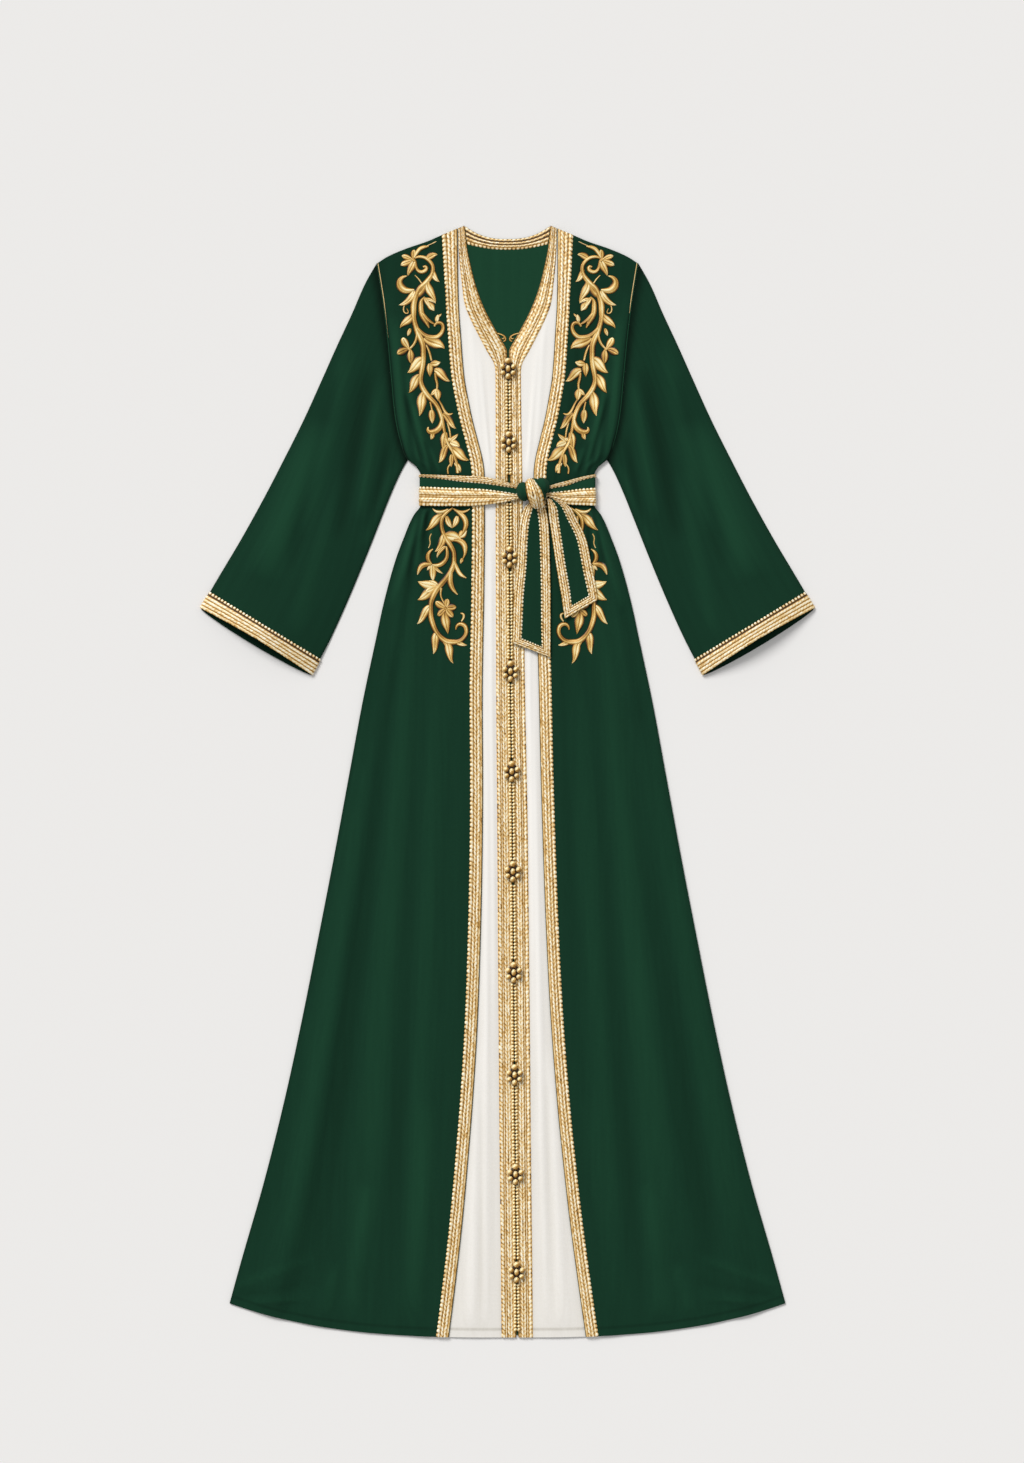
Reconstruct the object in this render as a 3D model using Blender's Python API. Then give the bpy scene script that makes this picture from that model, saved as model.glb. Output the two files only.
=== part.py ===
"""A full-length kaftan laid flat, front up, with its sash tied at the waist.

Run with blender --background --python part.py, or from Blender's text editor. Sizes are in
millimetres and become metres where a mesh is made. The origin lies on the surface under the middle
of the garment, +Y points to its collar and +X to the right of someone who looks down at it.
"Down" is always measured from the neck points towards the hem, and "out" from the middle line.
"""

import math
from collections import namedtuple

import bpy
import numpy as np
from mathutils import Vector
from mathutils.bvhtree import BVHTree
from mathutils.geometry import delaunay_2d_cdt

MM = 0.001

# Cut of the whole garment
LENGTH = 1500.0
UNDERARM_DOWN = 316.0
NECK_HALF = 58.0
BACK_NECK_DIP = 18.0
BACK_NECK_POWER = 2.5
SHOULDER_FADE_POWER = 1.5
HEM_HALF = 375.0
HEM_RISE = 46.0
HEM_POWER = 2.9
HEM_CURVE_FROM = 1150.0
BACK_HEM_SHORTER = 3.0

# Walls and the clearances between pieces
CLOTH = 1.2
INSET_CLOTH = 1.0
BRAID = 1.2
BRAID_CROWN = 0.4
GAP = 0.3
SEAM = 0.4
SPRAY_WALL = 1.0
SPRAY_GAP = 0.5
SPRAY_LEAST_GAP = 0.35
LOWER_RIGHT_OUTWARD = 8.0

# Heights above the surface, of the lower face of each layer
BACK_Z = 0.0
INSET_Z = BACK_Z + CLOTH + GAP
FRONT_OVER_INSET_Z = INSET_Z + INSET_CLOTH + GAP
FRONT_SIDE_Z = BACK_Z + CLOTH + GAP
INNER_BRAID_Z = INSET_Z + INSET_CLOTH + GAP
OUTER_BRAID_Z = FRONT_OVER_INSET_Z + CLOTH + GAP
BUTTON_Z = INNER_BRAID_Z + BRAID + BRAID_CROWN + GAP
TAIL_Z = OUTER_BRAID_Z + BRAID + BRAID_CROWN + GAP

INSET_UNDERLAP = 25.0
OUTER_BRAID_WIDTH = 16.0
OUTER_BRAID_TOP_WIDTH = 20.0
OUTER_BRAID_TOP_REACH = 90.0
BRAIDS_APART = 0.6
PLACKET_SLIT = 0.5
NECK_BAND_WIDTH = 14.0
NECK_BAND_END_WIDER = 8.0
NECK_BAND_CLEAR = 0.8
NECK_BAND_TAPER = 0.12
NECK_BAND_SHARES = (-1, -0.8, -0.55, -0.28, 0, 0.28, 0.55, 0.8, 1)

# Sash
SASH_WALL = 1.4
SASH_BRAID_WALL = 1.0
SASH_TOP_DOWN = 336.0
SASH_BOTTOM_DOWN = 378.0
SASH_HALF = 120.0
SASH_TURN = 2.1
WAIST_LIFT = SASH_WALL + GAP + 0.2
SASH_FRONT_Z = TAIL_Z + WAIST_LIFT
SASH_BRAID_Z = SASH_FRONT_Z + SASH_WALL + GAP
KNOT_Z = SASH_BRAID_Z + SASH_BRAID_WALL + GAP
TAIL_BRAID_WIDTH = 12.3
TAIL_BRAID_MOST_SHARE = 0.36
KNOT_CENTRE_UP = 2.0

# Sleeve
CUFF_BAND_WIDTH = 22.5
CUFF_MOUTH = 15.0
CUFF_BACK_BULGE = 9.0
CUFF_FRONT_HOLLOW = 4.5
SLEEVE_PUFF = 3.5
CUFF_LIFT = BRAID + GAP


def table(columns, *rows):
    """A short table whose rows answer to the names of its columns."""
    Row = namedtuple("Row", columns)
    return [Row(*row) for row in rows]


# Half outline of the body, from the shoulder point round the armhole and the waist to the hem
SIDE = table(
    "down out",
    (51, 176.5), (101, 168.5), (153, 162), (205, 157), (262, 151), (292, 144), (316, 134),
    (326, 122), (336, 117), (357, 116.4), (378, 117), (390, 126), (424, 141), (451, 151),
    (505, 166), (560, 178), (640, 195), (748, 215), (856, 235), (964, 256), (1072, 277.5),
    (1180, 301), (1288, 328), (1396, 359), (1454, 375),
)
SHOULDER = table("out down", (58, 0), (84, 11), (109, 21.5), (138, 31.5), (163, 42.5), (176.5, 51.3))
NECK_V = table(
    "down half", (0, 58), (32, 54.5), (54, 50), (76, 44.6), (97, 37.8), (119, 28.4), (170, 0)
)
INNER_BRAID_EDGE = table(
    "down half",
    (0, 67), (43, 65.2), (76, 62), (108, 57.4), (130, 48.6), (151, 38), (170, 28), (186, 19),
    (200, 17), (400, 18.4), (600, 19.2), (800, 20.4), (1000, 20.9), (1500, 21.1),
)
FRONT_EDGE = table(
    "down half",
    (0, 68.2), (108, 66.8), (151, 64), (181, 62), (208, 59.4), (235, 54.7), (262, 49.3),
    (289, 42.5), (316, 36), (336, 33.8), (378, 33.8), (505, 35.8), (613, 38.5), (748, 39.8),
    (856, 41.9), (964, 45.2), (1072, 50), (1180, 57.4), (1234, 62.1), (1342, 72.9),
    (1450, 86.4), (1500, 93.2),
)
MIDDLE_DRIFT = table(
    "down right", (0, 0), (180, 0.8), (330, 2), (505, 3.4), (640, 4.4), (800, 6.6), (1000, 8.4),
    (1125, 9.5), (1234, 10.4), (1396, 12.2), (1500, 13.2),
)

# Sections across the garment: where the cloth is lifted by the sash, and how deep the folds run
SECTIONS = table(
    "down lift fold inset_fold",
    (0, 0, 0, 0), (45, 0, 0, 0), (90, 0, 0.2, 0), (135, 0, 0.4, 0), (170, 0, 0.6, 0.2),
    (215, 0, 1.2, 0.3), (260, 0, 2.0, 0.4), (292, 0.25, 2.6, 0.4), (316, 0.65, 2.8, 0.4),
    (336, 1, 2.2, 0.2), (357, 1, 2.0, 0.2), (378, 1, 2.2, 0.2), (397, 0.75, 3.4, 0.4),
    (424, 0.4, 4.2, 0.5), (460, 0.12, 4.2, 0.6), (505, 0, 3.6, 0.6), (560, 0, 3.0, 0.6),
    (625, 0, 2.6, 0.7), (700, 0, 2.4, 0.8), (790, 0, 2.4, 0.8), (880, 0, 2.6, 0.9),
    (970, 0, 2.8, 1.0), (1060, 0, 3.2, 1.1), (1150, 0, 3.8, 1.2), (1240, 0, 4.6, 1.3),
    (1320, 0, 5.6, 1.5), (1390, 0, 6.6, 1.7), (1440, 0, 7.4, 1.9), (1475, 0, 8.0, 2.0),
    (1500, 0, 8.4, 2.1),
)

# Folds across a front: share of the way from the inset's hidden edge to the side, and their share
FOLDS = table(
    "across share",
    (0.15, 0.0), (0.3, 0.1), (0.44, 0.0), (0.57, 0.3), (0.68, 0.05), (0.79, 1.0), (0.9, 0.2),
    (1.0, 0.0),
)
BACK_COLUMNS = (-1, -0.8, -0.56, -0.328, -0.17, 0, 0.17, 0.328, 0.56, 0.8, 1)

# Sleeve edges, and its sections: share of the way from the cuff band to the armhole, lift, puff
OVERARM = table(
    "down out",
    (51.3, 176.9), (76, 191), (119, 210), (162, 230), (208, 250.5), (262, 275), (316, 302),
    (370, 330), (424, 360), (478, 392), (516, 414),
)
UNDERARM = table(
    "down out",
    (316, 134.4), (329, 142), (356, 154.5), (397, 171), (451, 192.5), (505, 215), (559, 239.5),
    (606, 264),
)
SLEEVE_SECTIONS = table(
    "way lift puff",
    (1.0, 0, 0), (0.95, 0, 0.4), (0.85, 0, 0.8), (0.72, 0, 1.0), (0.58, 0, 1.0), (0.44, 0, 1.2),
    (0.3, 0, 1.6), (0.17, 0, 2.2), (0.07, 0.5, 3.0), (0.0, 1, 3.8),
)
SLEEVE_FOLDS = table(
    "across share", (0.0, 0), (0.13, 0.45), (0.27, 0.9), (0.41, 0.85), (0.56, 1.1), (0.7, 0.8),
    (0.85, 0.6), (1.0, 0),
)

# The front of the sash narrows to its knot: its edges, then the edges of its two braids
SASH_FRONT = table(
    "right top bottom upper_braid lower_braid",
    (-117.5, 336, 378, 339.5, 353), (-90, 337, 378.5, 342, 354), (-60, 338, 378.5, 346, 355),
    (-31, 339.5, 377, 348.5, 356.5), (0, 347, 372.5, 353, 360.5), (13, 351, 369.5, 355, 362.5),
    (33, 352.5, 367.5, 356.5, 362.5), (53, 352.4, 366.5, 356, 361), (66, 348.5, 371, 353.5, 360),
    (80, 345, 376, 351, 358.5), (98, 340, 377.2, 344.5, 356), (117.5, 336, 378, 339.5, 354.5),
)
KNOT_LOBES = table(
    "right down half_width half_length height",
    (21.0, 359.5, 9.0, 13.5, 12.0), (37.5, 362.5, 13.5, 18.0, 16.0), (47.5, 354.5, 9.0, 11.0, 12.5),
)
LOBE_SIDES, LOBE_RINGS = 11, 6
LONG_TAIL = table(
    "left left_down right right_down",
    (31, 373, 46, 373), (24, 379, 50.5, 379), (17.5, 397, 54.5, 397), (14.6, 424, 56.2, 424),
    (12.9, 460, 57.2, 460), (8.8, 505, 58, 505), (7.4, 551, 57.9, 571), (6.6, 563, 57.8, 583),
)
SHORT_TAIL = table(
    "left left_down right right_down z",
    (53.5, 369, 66, 369, 0), (54.6, 380, 84, 380, 0), (56.5, 397, 93.5, 397, -2.6),
    (60.5, 424, 106, 424, -3.8), (66, 460, 113.5, 460, -4.6), (72.5, 498, 118.5, 483, -5.2),
    (75.5, 518.5, 120.2, 493, -5.3), (77.5, 530.5, 121.5, 505, -5.3),
)

# Knot buttons: the clusters down the placket, and the balls of one cluster
BUTTON_DOWNS = (194, 293, 448, 602, 737, 872, 1008, 1146, 1280, 1412)
BUTTON_BALLS = table(
    "right up radius",
    (0, 10.0, 3.3), (0, 0, 3.7), (0, -10.0, 3.7),
    (-6.3, 3.2, 3.3), (6.3, 3.2, 3.3), (-6.0, -5.2, 3.2), (6.0, -5.2, 3.2),
)
BUTTON_BASE = (6.5, 9.5, 1.3)
BALL_SIDES, BALL_RINGS = 6, 3
BALL_FOOT = 0.25
BALL_CENTRE_SHARE = 0.8
BASE_SIDES = 8
BASE_TURN = 0.2

# Embroidered sprays of a front: stems as runs of (out, down) with the width at each end
UPPER_STEMS = (
    (3.0, 7.5, ((118, 28), (127, 40), (117, 46), (105, 42), (99, 50), (101, 64), (110, 78),
                (122, 95), (128, 112), (124, 130), (115, 148), (112, 165), (117, 185))),
    (7.5, 6.5, ((117, 185), (117, 205), (112, 222), (101, 238), (91, 252), (88, 268), (82, 286),
                (74, 300), (68, 316), (67, 333))),
    (5.5, 3.5, ((112, 148), (100, 153), (90, 147), (87, 138), (93, 130), (99, 134))),
    (5.0, 3.0, ((90, 258), (95, 268), (104, 274), (108, 268))),
    (3.5, 2.5, ((104, 68), (112, 62), (117, 54))),
    (3.0, 2.5, ((105, 234), (96, 222), (93, 208), (96, 192), (104, 186))),
    (3.0, 2.5, ((118, 132), (127, 150), (133, 162))),
    (3.0, 2.5, ((121, 91), (110, 96), (104, 104), (101, 110))),
)
UPPER_LEAVES = table(
    "out down turn long wide",
    (126, 42, 150, 20, 9), (126, 46, 100, 24, 8), (130, 42, 200, 16, 8), (121, 42, 262, 13, 7),
    (108, 42, 330, 14, 7), (100, 62, 300, 18, 6), (130, 88, 190, 20, 12), (124, 86, 130, 28, 10),
    (108, 74, 75, 34, 8), (102, 108, 20, 14, 10), (116, 96, 165, 20, 9), (106, 112, 75, 28, 10),
    (128, 116, 130, 26, 8), (111, 150, 38, 34, 11), (132, 164, 210, 16, 9), (134, 166, 150, 18, 9),
    (132, 162, 95, 20, 9), (117, 186, 145, 32, 11), (104, 184, 330, 16, 8), (104, 188, 80, 18, 8),
    (96, 200, 35, 24, 8), (116, 206, 115, 28, 9), (112, 222, 100, 34, 9), (99, 238, 90, 20, 8),
    (90, 250, 20, 22, 7), (86, 262, 50, 24, 7), (80, 288, 330, 18, 8), (79, 292, 110, 32, 9),
    (75, 302, 42, 28, 8), (73, 306, 85, 24, 7),
)
LOWER_STEMS = (
    (4.0, 7.5, ((77, 382), (87, 390), (91, 406), (83, 424), (74, 440), (73, 456), (83, 474),
                (96, 490), (103, 506), (104, 524), (97, 544), (86, 558))),
    (7.0, 4.0, ((86, 558), (73, 563), (61, 557), (57, 546), (63, 537), (70, 540))),
    (4.0, 3.5, ((79, 381), (70, 383), (61, 392), (58, 406), (64, 418))),
    (4.5, 3.0, ((83, 428), (85, 446), (93, 456), (103, 460))),
    (3.0, 3.0, ((98, 491), (91, 498), (86, 508), (84, 520))),
)
LOWER_LEAVES = table(
    "out down turn long wide",
    (87, 386, 200, 18, 6), (65, 386, 340, 11, 5), (79, 388, 100, 18, 8), (91, 394, 135, 26, 8),
    (89, 412, 115, 26, 9), (83, 420, 10, 20, 11), (65, 420, 60, 26, 9), (61, 412, 40, 11, 8),
    (103, 458, 245, 24, 9), (105, 462, 160, 22, 10), (101, 464, 100, 20, 9), (73, 458, 50, 26, 8),
    (77, 466, 80, 34, 9), (97, 486, 195, 30, 12), (97, 492, 155, 28, 12), (85, 512, 205, 15, 11),
    (83, 512, 330, 15, 11), (83, 518, 20, 15, 11), (87, 518, 120, 15, 11), (85, 520, 80, 32, 10),
    (104, 522, 130, 30, 10), (91, 554, 110, 28, 9), (83, 562, 75, 30, 9), (71, 562, 20, 16, 6),
)

SAME_POINT = 0.05
ABOVE_ALL = 100.0
# Places inside a triangle where embroidery is lifted clear of a fold that passes under it
SETTLE_SHARES = (
    (0.5, 0.5, 0), (0, 0.5, 0.5), (0.5, 0, 0.5), (0.34, 0.33, 0.33),
    (0.75, 0.25, 0), (0.25, 0.75, 0), (0, 0.75, 0.25), (0, 0.25, 0.75), (0.75, 0, 0.25),
    (0.25, 0, 0.75),
)

GREEN = "#1c3d2c"
GOLD_BRAID = "#ccb082"
GOLD_THREAD = "#c9a869"
IVORY = "#e6e3dc"


def smooth(rows, column, at):
    """The value of a column at one place down the table's first column, along a smooth curve."""
    xs = [row[0] for row in rows]
    ys = [getattr(row, column) for row in rows]
    if at <= xs[0]:
        return ys[0]
    if at >= xs[-1]:
        return ys[-1]
    i = int(np.searchsorted(xs, at, side="right")) - 1
    step = xs[i + 1] - xs[i]
    slope = (ys[i + 1] - ys[i]) / step
    before = (ys[i] - ys[i - 1]) / (xs[i] - xs[i - 1]) if i else slope
    after = (ys[i + 2] - ys[i + 1]) / (xs[i + 2] - xs[i + 1]) if i + 2 < len(xs) else slope
    start = 0.5 * (before + slope) if before * slope > 0 else 0.0
    end = 0.5 * (slope + after) if after * slope > 0 else 0.0
    t = (at - xs[i]) / step
    bend = t * (1 - t) * ((1 - t) * (start - slope) - t * (end - slope)) * step
    return ys[i] + t * (ys[i + 1] - ys[i]) + bend


def straight(rows, column, at):
    """The value of a column at one place down the table's first column, along straight runs."""
    return float(np.interp(at, [row[0] for row in rows], [getattr(row, column) for row in rows]))


def fall(out, down, neck_dip=False):
    """How far down a section really lies at one distance out: it climbs to shoulder and hem."""
    fade = max(0.0, 1.0 - down / UNDERARM_DOWN) ** SHOULDER_FADE_POWER
    if out > NECK_HALF:
        top = smooth(SHOULDER, "down", out)
    else:
        top = BACK_NECK_DIP * (1 - (out / NECK_HALF) ** BACK_NECK_POWER) if neck_dip else 0.0
    t = min(1.0, max(0.0, (down - HEM_CURVE_FROM) / (LENGTH - HEM_CURVE_FROM)))
    rise = HEM_RISE * min(1.0, out / HEM_HALF) ** HEM_POWER * t * t * (3 - 2 * t)
    return down + top * fade - rise


def place(right, down):
    """Plan position of a point: right of the middle line and down from the neck points."""
    return right, LENGTH / 2 - down


def lift(down):
    return WAIST_LIFT * straight(SECTIONS, "lift", down)


def edge_at(rows, column, down, about=0.0):
    """Where an edge, drawn by its real distance down, crosses the section at this nominal one."""
    out = smooth(rows, column, down)
    for _ in range(6):
        out = smooth(rows, column, fall(about + out, down))
    return out


def side_at(down):
    return edge_at(SIDE, "out", down)


def colour(code):
    """A Principled colour from an sRGB hex code."""
    parts = [int(code[i : i + 2], 16) / 255 for i in (1, 3, 5)]
    return [p / 12.92 if p <= 0.04045 else ((p + 0.055) / 1.055) ** 2.4 for p in parts] + [1.0]


def material(name, code, roughness, metallic):
    made = bpy.data.materials.new(name)
    made.use_nodes = True
    shader = made.node_tree.nodes["Principled BSDF"]
    shader.inputs["Base Color"].default_value = colour(code)
    shader.inputs["Roughness"].default_value = roughness
    shader.inputs["Metallic"].default_value = metallic
    made.diffuse_color = colour(code)
    return made


def green_cloth(name):
    return material(name, GREEN, 0.75, 0.0)


def gold_braid(name):
    return material(name, GOLD_BRAID, 0.45, 0.35)


def gold_thread(name):
    return material(name, GOLD_THREAD, 0.5, 0.25)


def ivory_cloth(name):
    return material(name, IVORY, 0.8, 0.0)


def add_solid(name, points, faces, finish):
    """One closed object from points in millimetres, its faces turned outwards."""
    points = np.asarray(points, float) * MM
    corners = points[np.asarray(faces)]
    volume = np.einsum("ij,ij->", corners[:, 0], np.cross(corners[:, 1], corners[:, 2]))
    if volume < 0:
        faces = [face[::-1] for face in faces]
    mesh = bpy.data.meshes.new(name)
    mesh.from_pydata(points.tolist(), [], [tuple(int(i) for i in face) for face in faces])
    mesh.materials.append(finish(name))
    mesh.shade_smooth()
    mesh.set_sharp_from_angle(angle=math.radians(40))
    made = bpy.data.objects.new(name, mesh)
    bpy.context.scene.collection.objects.link(made)
    return made


def walled(lower, upper, triangles):
    """Points and faces of the solid between two sheets that share the same triangles."""
    count = len(lower)
    sides = {}
    for a, b, c in triangles:
        for edge in ((a, b), (b, c), (c, a)):
            sides[edge] = True
    rims = [edge for edge in sides if (edge[1], edge[0]) not in sides]
    faces = [(a + count, b + count, c + count) for a, b, c in triangles]
    faces += [(a, c, b) for a, b, c in triangles]
    for a, b in rims:
        faces += [(b + count, a + count, a), (b + count, a, b)]
    used = sorted({i for face in faces for i in face})
    index = {old: new for new, old in enumerate(used)}
    points = np.concatenate([lower, upper])[used]
    return points, [tuple(index[i] for i in face) for face in faces]


def sheet(name, finish, lower, wall, keep=None):
    """A cloth wall on a grid of points, given as rows of (x, y, z) along its lower face.

    The wall is one thickness, or one for each column, and keep picks the cells that are cloth.
    """
    lower = np.asarray(lower, float)
    rows, columns = lower.shape[:2]
    upper = lower.copy()
    upper[..., 2] += np.asarray(wall, float)
    triangles = []
    for r in range(rows - 1):
        for c in range(columns - 1):
            if keep is None or keep(r, c):
                a = r * columns + c
                b, d, e = a + 1, a + columns, a + columns + 1
                triangles += [(a, d, e), (a, e, b)]
    points, faces = walled(lower.reshape(-1, 3), upper.reshape(-1, 3), triangles)
    return add_solid(name, points, faces, finish)


def tube(name, finish, outer, inner):
    """An open tube of cloth between two stacks of closed rings with equal counts of points."""
    outer, inner = np.asarray(outer, float), np.asarray(inner, float)
    rows, count = outer.shape[:2]
    faces = []
    for skin, turn in ((0, 1), (rows * count, -1)):
        for r in range(rows - 1):
            for c in range(count):
                a, b = r * count + c, r * count + (c + 1) % count
                for face in ((a, a + count, b + count), (a, b + count, b)):
                    faces.append(tuple(skin + i for i in face)[::turn])
    for r, turn in ((0, 1), (rows - 1, -1)):
        for c in range(count):
            a, b = r * count + c, r * count + (c + 1) % count
            a2, b2 = a + rows * count, b + rows * count
            faces += [(a, b, b2)[::turn], (a, b2, a2)[::turn]]
    points = np.concatenate([outer.reshape(-1, 3), inner.reshape(-1, 3)])
    return add_solid(name, points, faces, finish)


def front_columns(down):
    """Distances from the middle, out along one half: neck or slit, braids, inset, front and side."""
    middle = straight(MIDDLE_DRIFT, "right", down)
    neck = max(PLACKET_SLIT / 2, smooth(NECK_V, "half", down))
    front = edge_at(FRONT_EDGE, "half", down)
    inner_braid = min(edge_at(INNER_BRAID_EDGE, "half", down), front - BRAIDS_APART)
    top_share = max(0.0, 1.0 - down / OUTER_BRAID_TOP_REACH)
    braid = OUTER_BRAID_WIDTH + (OUTER_BRAID_TOP_WIDTH - OUTER_BRAID_WIDTH) * top_share
    return middle, neck, inner_braid, front, front + braid, front + INSET_UNDERLAP


def row_point(side, middle, half, down, z):
    """A point of one half, its height and its distance from the drifting middle line given."""
    right = middle + side * half
    x, y = place(right, fall(abs(right), down))
    return x, y, z


def inset_lower(side):
    """Lower face of the ivory inset of one side, which runs on under the green front."""
    rows = []
    for section in SECTIONS:
        middle, neck, inner, front, braid, hidden = front_columns(section.down)
        z = INSET_Z + WAIST_LIFT * section.lift
        halves = (neck, inner, inner + 0.4 * (front - inner), inner + 0.75 * (front - inner),
                  front, braid, hidden)
        heights = (0, 0, section.inset_fold, 0.3 * section.inset_fold, 0, 0, 0)
        rows.append([
            row_point(side, middle, half, section.down, z + height)
            for half, height in zip(halves, heights)
        ])
    return rows


def front_lower(side):
    """Lower face of a green front, from its braided edge to the armhole and the side."""
    rows = []
    for section in SECTIONS:
        middle, _, _, front, braid, hidden = front_columns(section.down)
        raised = WAIST_LIFT * section.lift
        row = [
            row_point(side, middle, half, section.down, FRONT_OVER_INSET_Z + raised)
            for half in (front, braid, hidden)
        ]
        start = middle + side * hidden
        end = side * side_at(section.down)
        for fold in FOLDS:
            right = start + fold.across * (end - start)
            x, y = place(right, fall(abs(right), section.down))
            row.append((x, y, FRONT_SIDE_Z + raised + fold.share * section.fold))
        rows.append(row)
    return rows


def braid_on(lower, columns, base):
    """Lower face of a braid that lies on two neighbouring columns of a panel, with a middle run."""
    first, second = columns
    rows = []
    for row in np.asarray(lower, float):
        edge_a, edge_b = row[first].copy(), row[second].copy()
        edge_a[2] += base
        edge_b[2] += base
        rows.append([edge_a, (edge_a + edge_b) / 2, edge_b])
    return rows


def add_front_half(side, name):
    inset = inset_lower(side)
    front = front_lower(side)
    crowned = (BRAID, BRAID + BRAID_CROWN, BRAID)
    sheet(f"inset_{name}", ivory_cloth, inset, INSET_CLOTH)
    made = sheet(f"front_{name}", green_cloth, front, CLOTH)
    sheet(f"braid_inner_{name}", gold_braid, braid_on(inset, (0, 1), INSET_CLOTH + GAP), crowned)
    sheet(f"braid_outer_{name}", gold_braid, braid_on(front, (0, 1), CLOTH + GAP), crowned)
    return made


def add_back():
    rows = []
    for section in SECTIONS:
        down = min(section.down, LENGTH - BACK_HEM_SHORTER)
        half = side_at(down)
        row = []
        for share in BACK_COLUMNS:
            x, y = place(share * half, fall(abs(share * half), down, neck_dip=True))
            row.append((x, y, BACK_Z + WAIST_LIFT * section.lift))
        rows.append(row)
    sheet("back", green_cloth, rows, CLOTH)


def add_neck_band():
    """The braid round the inside of the back neck, between the two front edges."""
    upper, lower = [], []
    for share in NECK_BAND_SHARES:
        depth = NECK_BAND_WIDTH + NECK_BAND_END_WIDER * abs(share) ** 3
        for row, extra in ((upper, 0.0), (lower, depth)):
            half = NECK_HALF - NECK_BAND_CLEAR - NECK_BAND_TAPER * extra
            down = fall(abs(share * half), 0.0, neck_dip=True) + GAP + extra
            row.append((*place(share * half, down), BACK_Z + CLOTH + GAP))
    sheet("braid_back_neck", gold_braid, [upper, lower], BRAID)


def along_edge(rows, steps=400):
    """A sleeve edge as close points, with their distances back from the cuff."""
    downs = np.linspace(rows[0].down, rows[-1].down, steps)
    points = np.array([(smooth(rows, "out", d), d) for d in downs])
    runs = np.hypot(*np.diff(points, axis=0).T)
    back = np.concatenate([np.cumsum(runs[::-1])[::-1], [0.0]])
    return points[::-1], back[::-1]


def sleeve_rows():
    """Sleeve sections as (out, down) lines from overarm to underarm, armhole first."""
    seam_downs = [
        fall(side_at(s.down), s.down) for s in SECTIONS if s.down <= UNDERARM_DOWN
    ]
    seam = np.array([(smooth(SIDE, "out", d) + SEAM, d) for d in seam_downs])
    across = (seam[:, 1] - seam[0, 1]) / (seam[-1, 1] - seam[0, 1])
    over, over_back = along_edge(OVERARM)
    under, under_back = along_edge(UNDERARM)
    lines = []
    for section in SLEEVE_SECTIONS:
        ends = []
        for points, back in ((over, over_back), (under, under_back)):
            reach = CUFF_BAND_WIDTH + section.way * (back[-1] - CUFF_BAND_WIDTH)
            ends.append([np.interp(reach, back, points[:, k]) for k in (0, 1)])
        lines.append(ends)
    lines.append([over[0], under[0]])
    straight_seam = np.outer(1 - across, seam[0]) + np.outer(across, seam[-1])
    rows = []
    for ends, way in zip(lines, [s.way for s in SLEEVE_SECTIONS] + [0.0]):
        line = np.outer(1 - across, ends[0]) + np.outer(across, ends[1])
        rows.append(line + (seam - straight_seam) * way**3)
    return np.array(rows), across


def add_sleeve(side, name):
    rows, across = sleeve_rows()
    lifts = [CUFF_LIFT * s.lift for s in SLEEVE_SECTIONS] + [CUFF_LIFT]
    puffs = [SLEEVE_PUFF * s.puff for s in SLEEVE_SECTIONS] + [CUFF_MOUTH]
    shares = [smooth(SLEEVE_FOLDS, "share", a) for a in across]
    arch = np.sin(math.pi * across)
    cuff = rows[-1][-1] - rows[-1][0]
    outward = np.array([-cuff[1], cuff[0]]) / np.hypot(*cuff)
    outward *= math.copysign(1.0, outward @ (rows[-1][0] - rows[-2][0]))
    outer, inner, band_outer, band_inner = [], [], [], []
    for i, line in enumerate(rows):
        step = (line[-1] - line[0]) / np.hypot(*(line[-1] - line[0]))
        mouth = i == len(rows) - 1
        banded = i >= len(rows) - 2
        back_line = line + (np.outer(arch, outward) * CUFF_BACK_BULGE if mouth else 0.0)
        front_line = line - (np.outer(arch, outward) * CUFF_FRONT_HOLLOW if mouth else 0.0)
        z = lifts[i]
        puff = puffs[i] * (arch if banded else np.array(shares))

        def ring(wall, widen, upper_z, lower_z, lower_line):
            """Points round the sleeve: over its upper layer, then back under its lower one."""
            points = []
            for layer, order, heights in (
                (front_line, 1, upper_z + puff), (lower_line, -1, np.full(len(puff), lower_z))
            ):
                flat = layer.copy()
                flat[0] += step * (wall - widen)
                flat[-1] -= step * (wall - widen)
                points += [
                    (*place(side * out, down), height)
                    for (out, down), height in list(zip(flat, heights))[::order]
                ]
            return points

        top = z + 2 * CLOTH + GAP
        outer.append(ring(0.0, 0.0, top, z, back_line))
        inner.append(ring(CLOTH, 0.0, top - CLOTH, z + CLOTH, back_line))
        if banded:
            band_outer.append(ring(0.0, BRAID + GAP, top + GAP + BRAID, 0.0, front_line))
            band_inner.append(ring(0.0, GAP, top + GAP, BRAID, front_line))
    tube(f"sleeve_{name}", green_cloth, outer, inner)
    tube(f"cuff_band_{name}", gold_braid, band_outer, band_inner)


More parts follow.
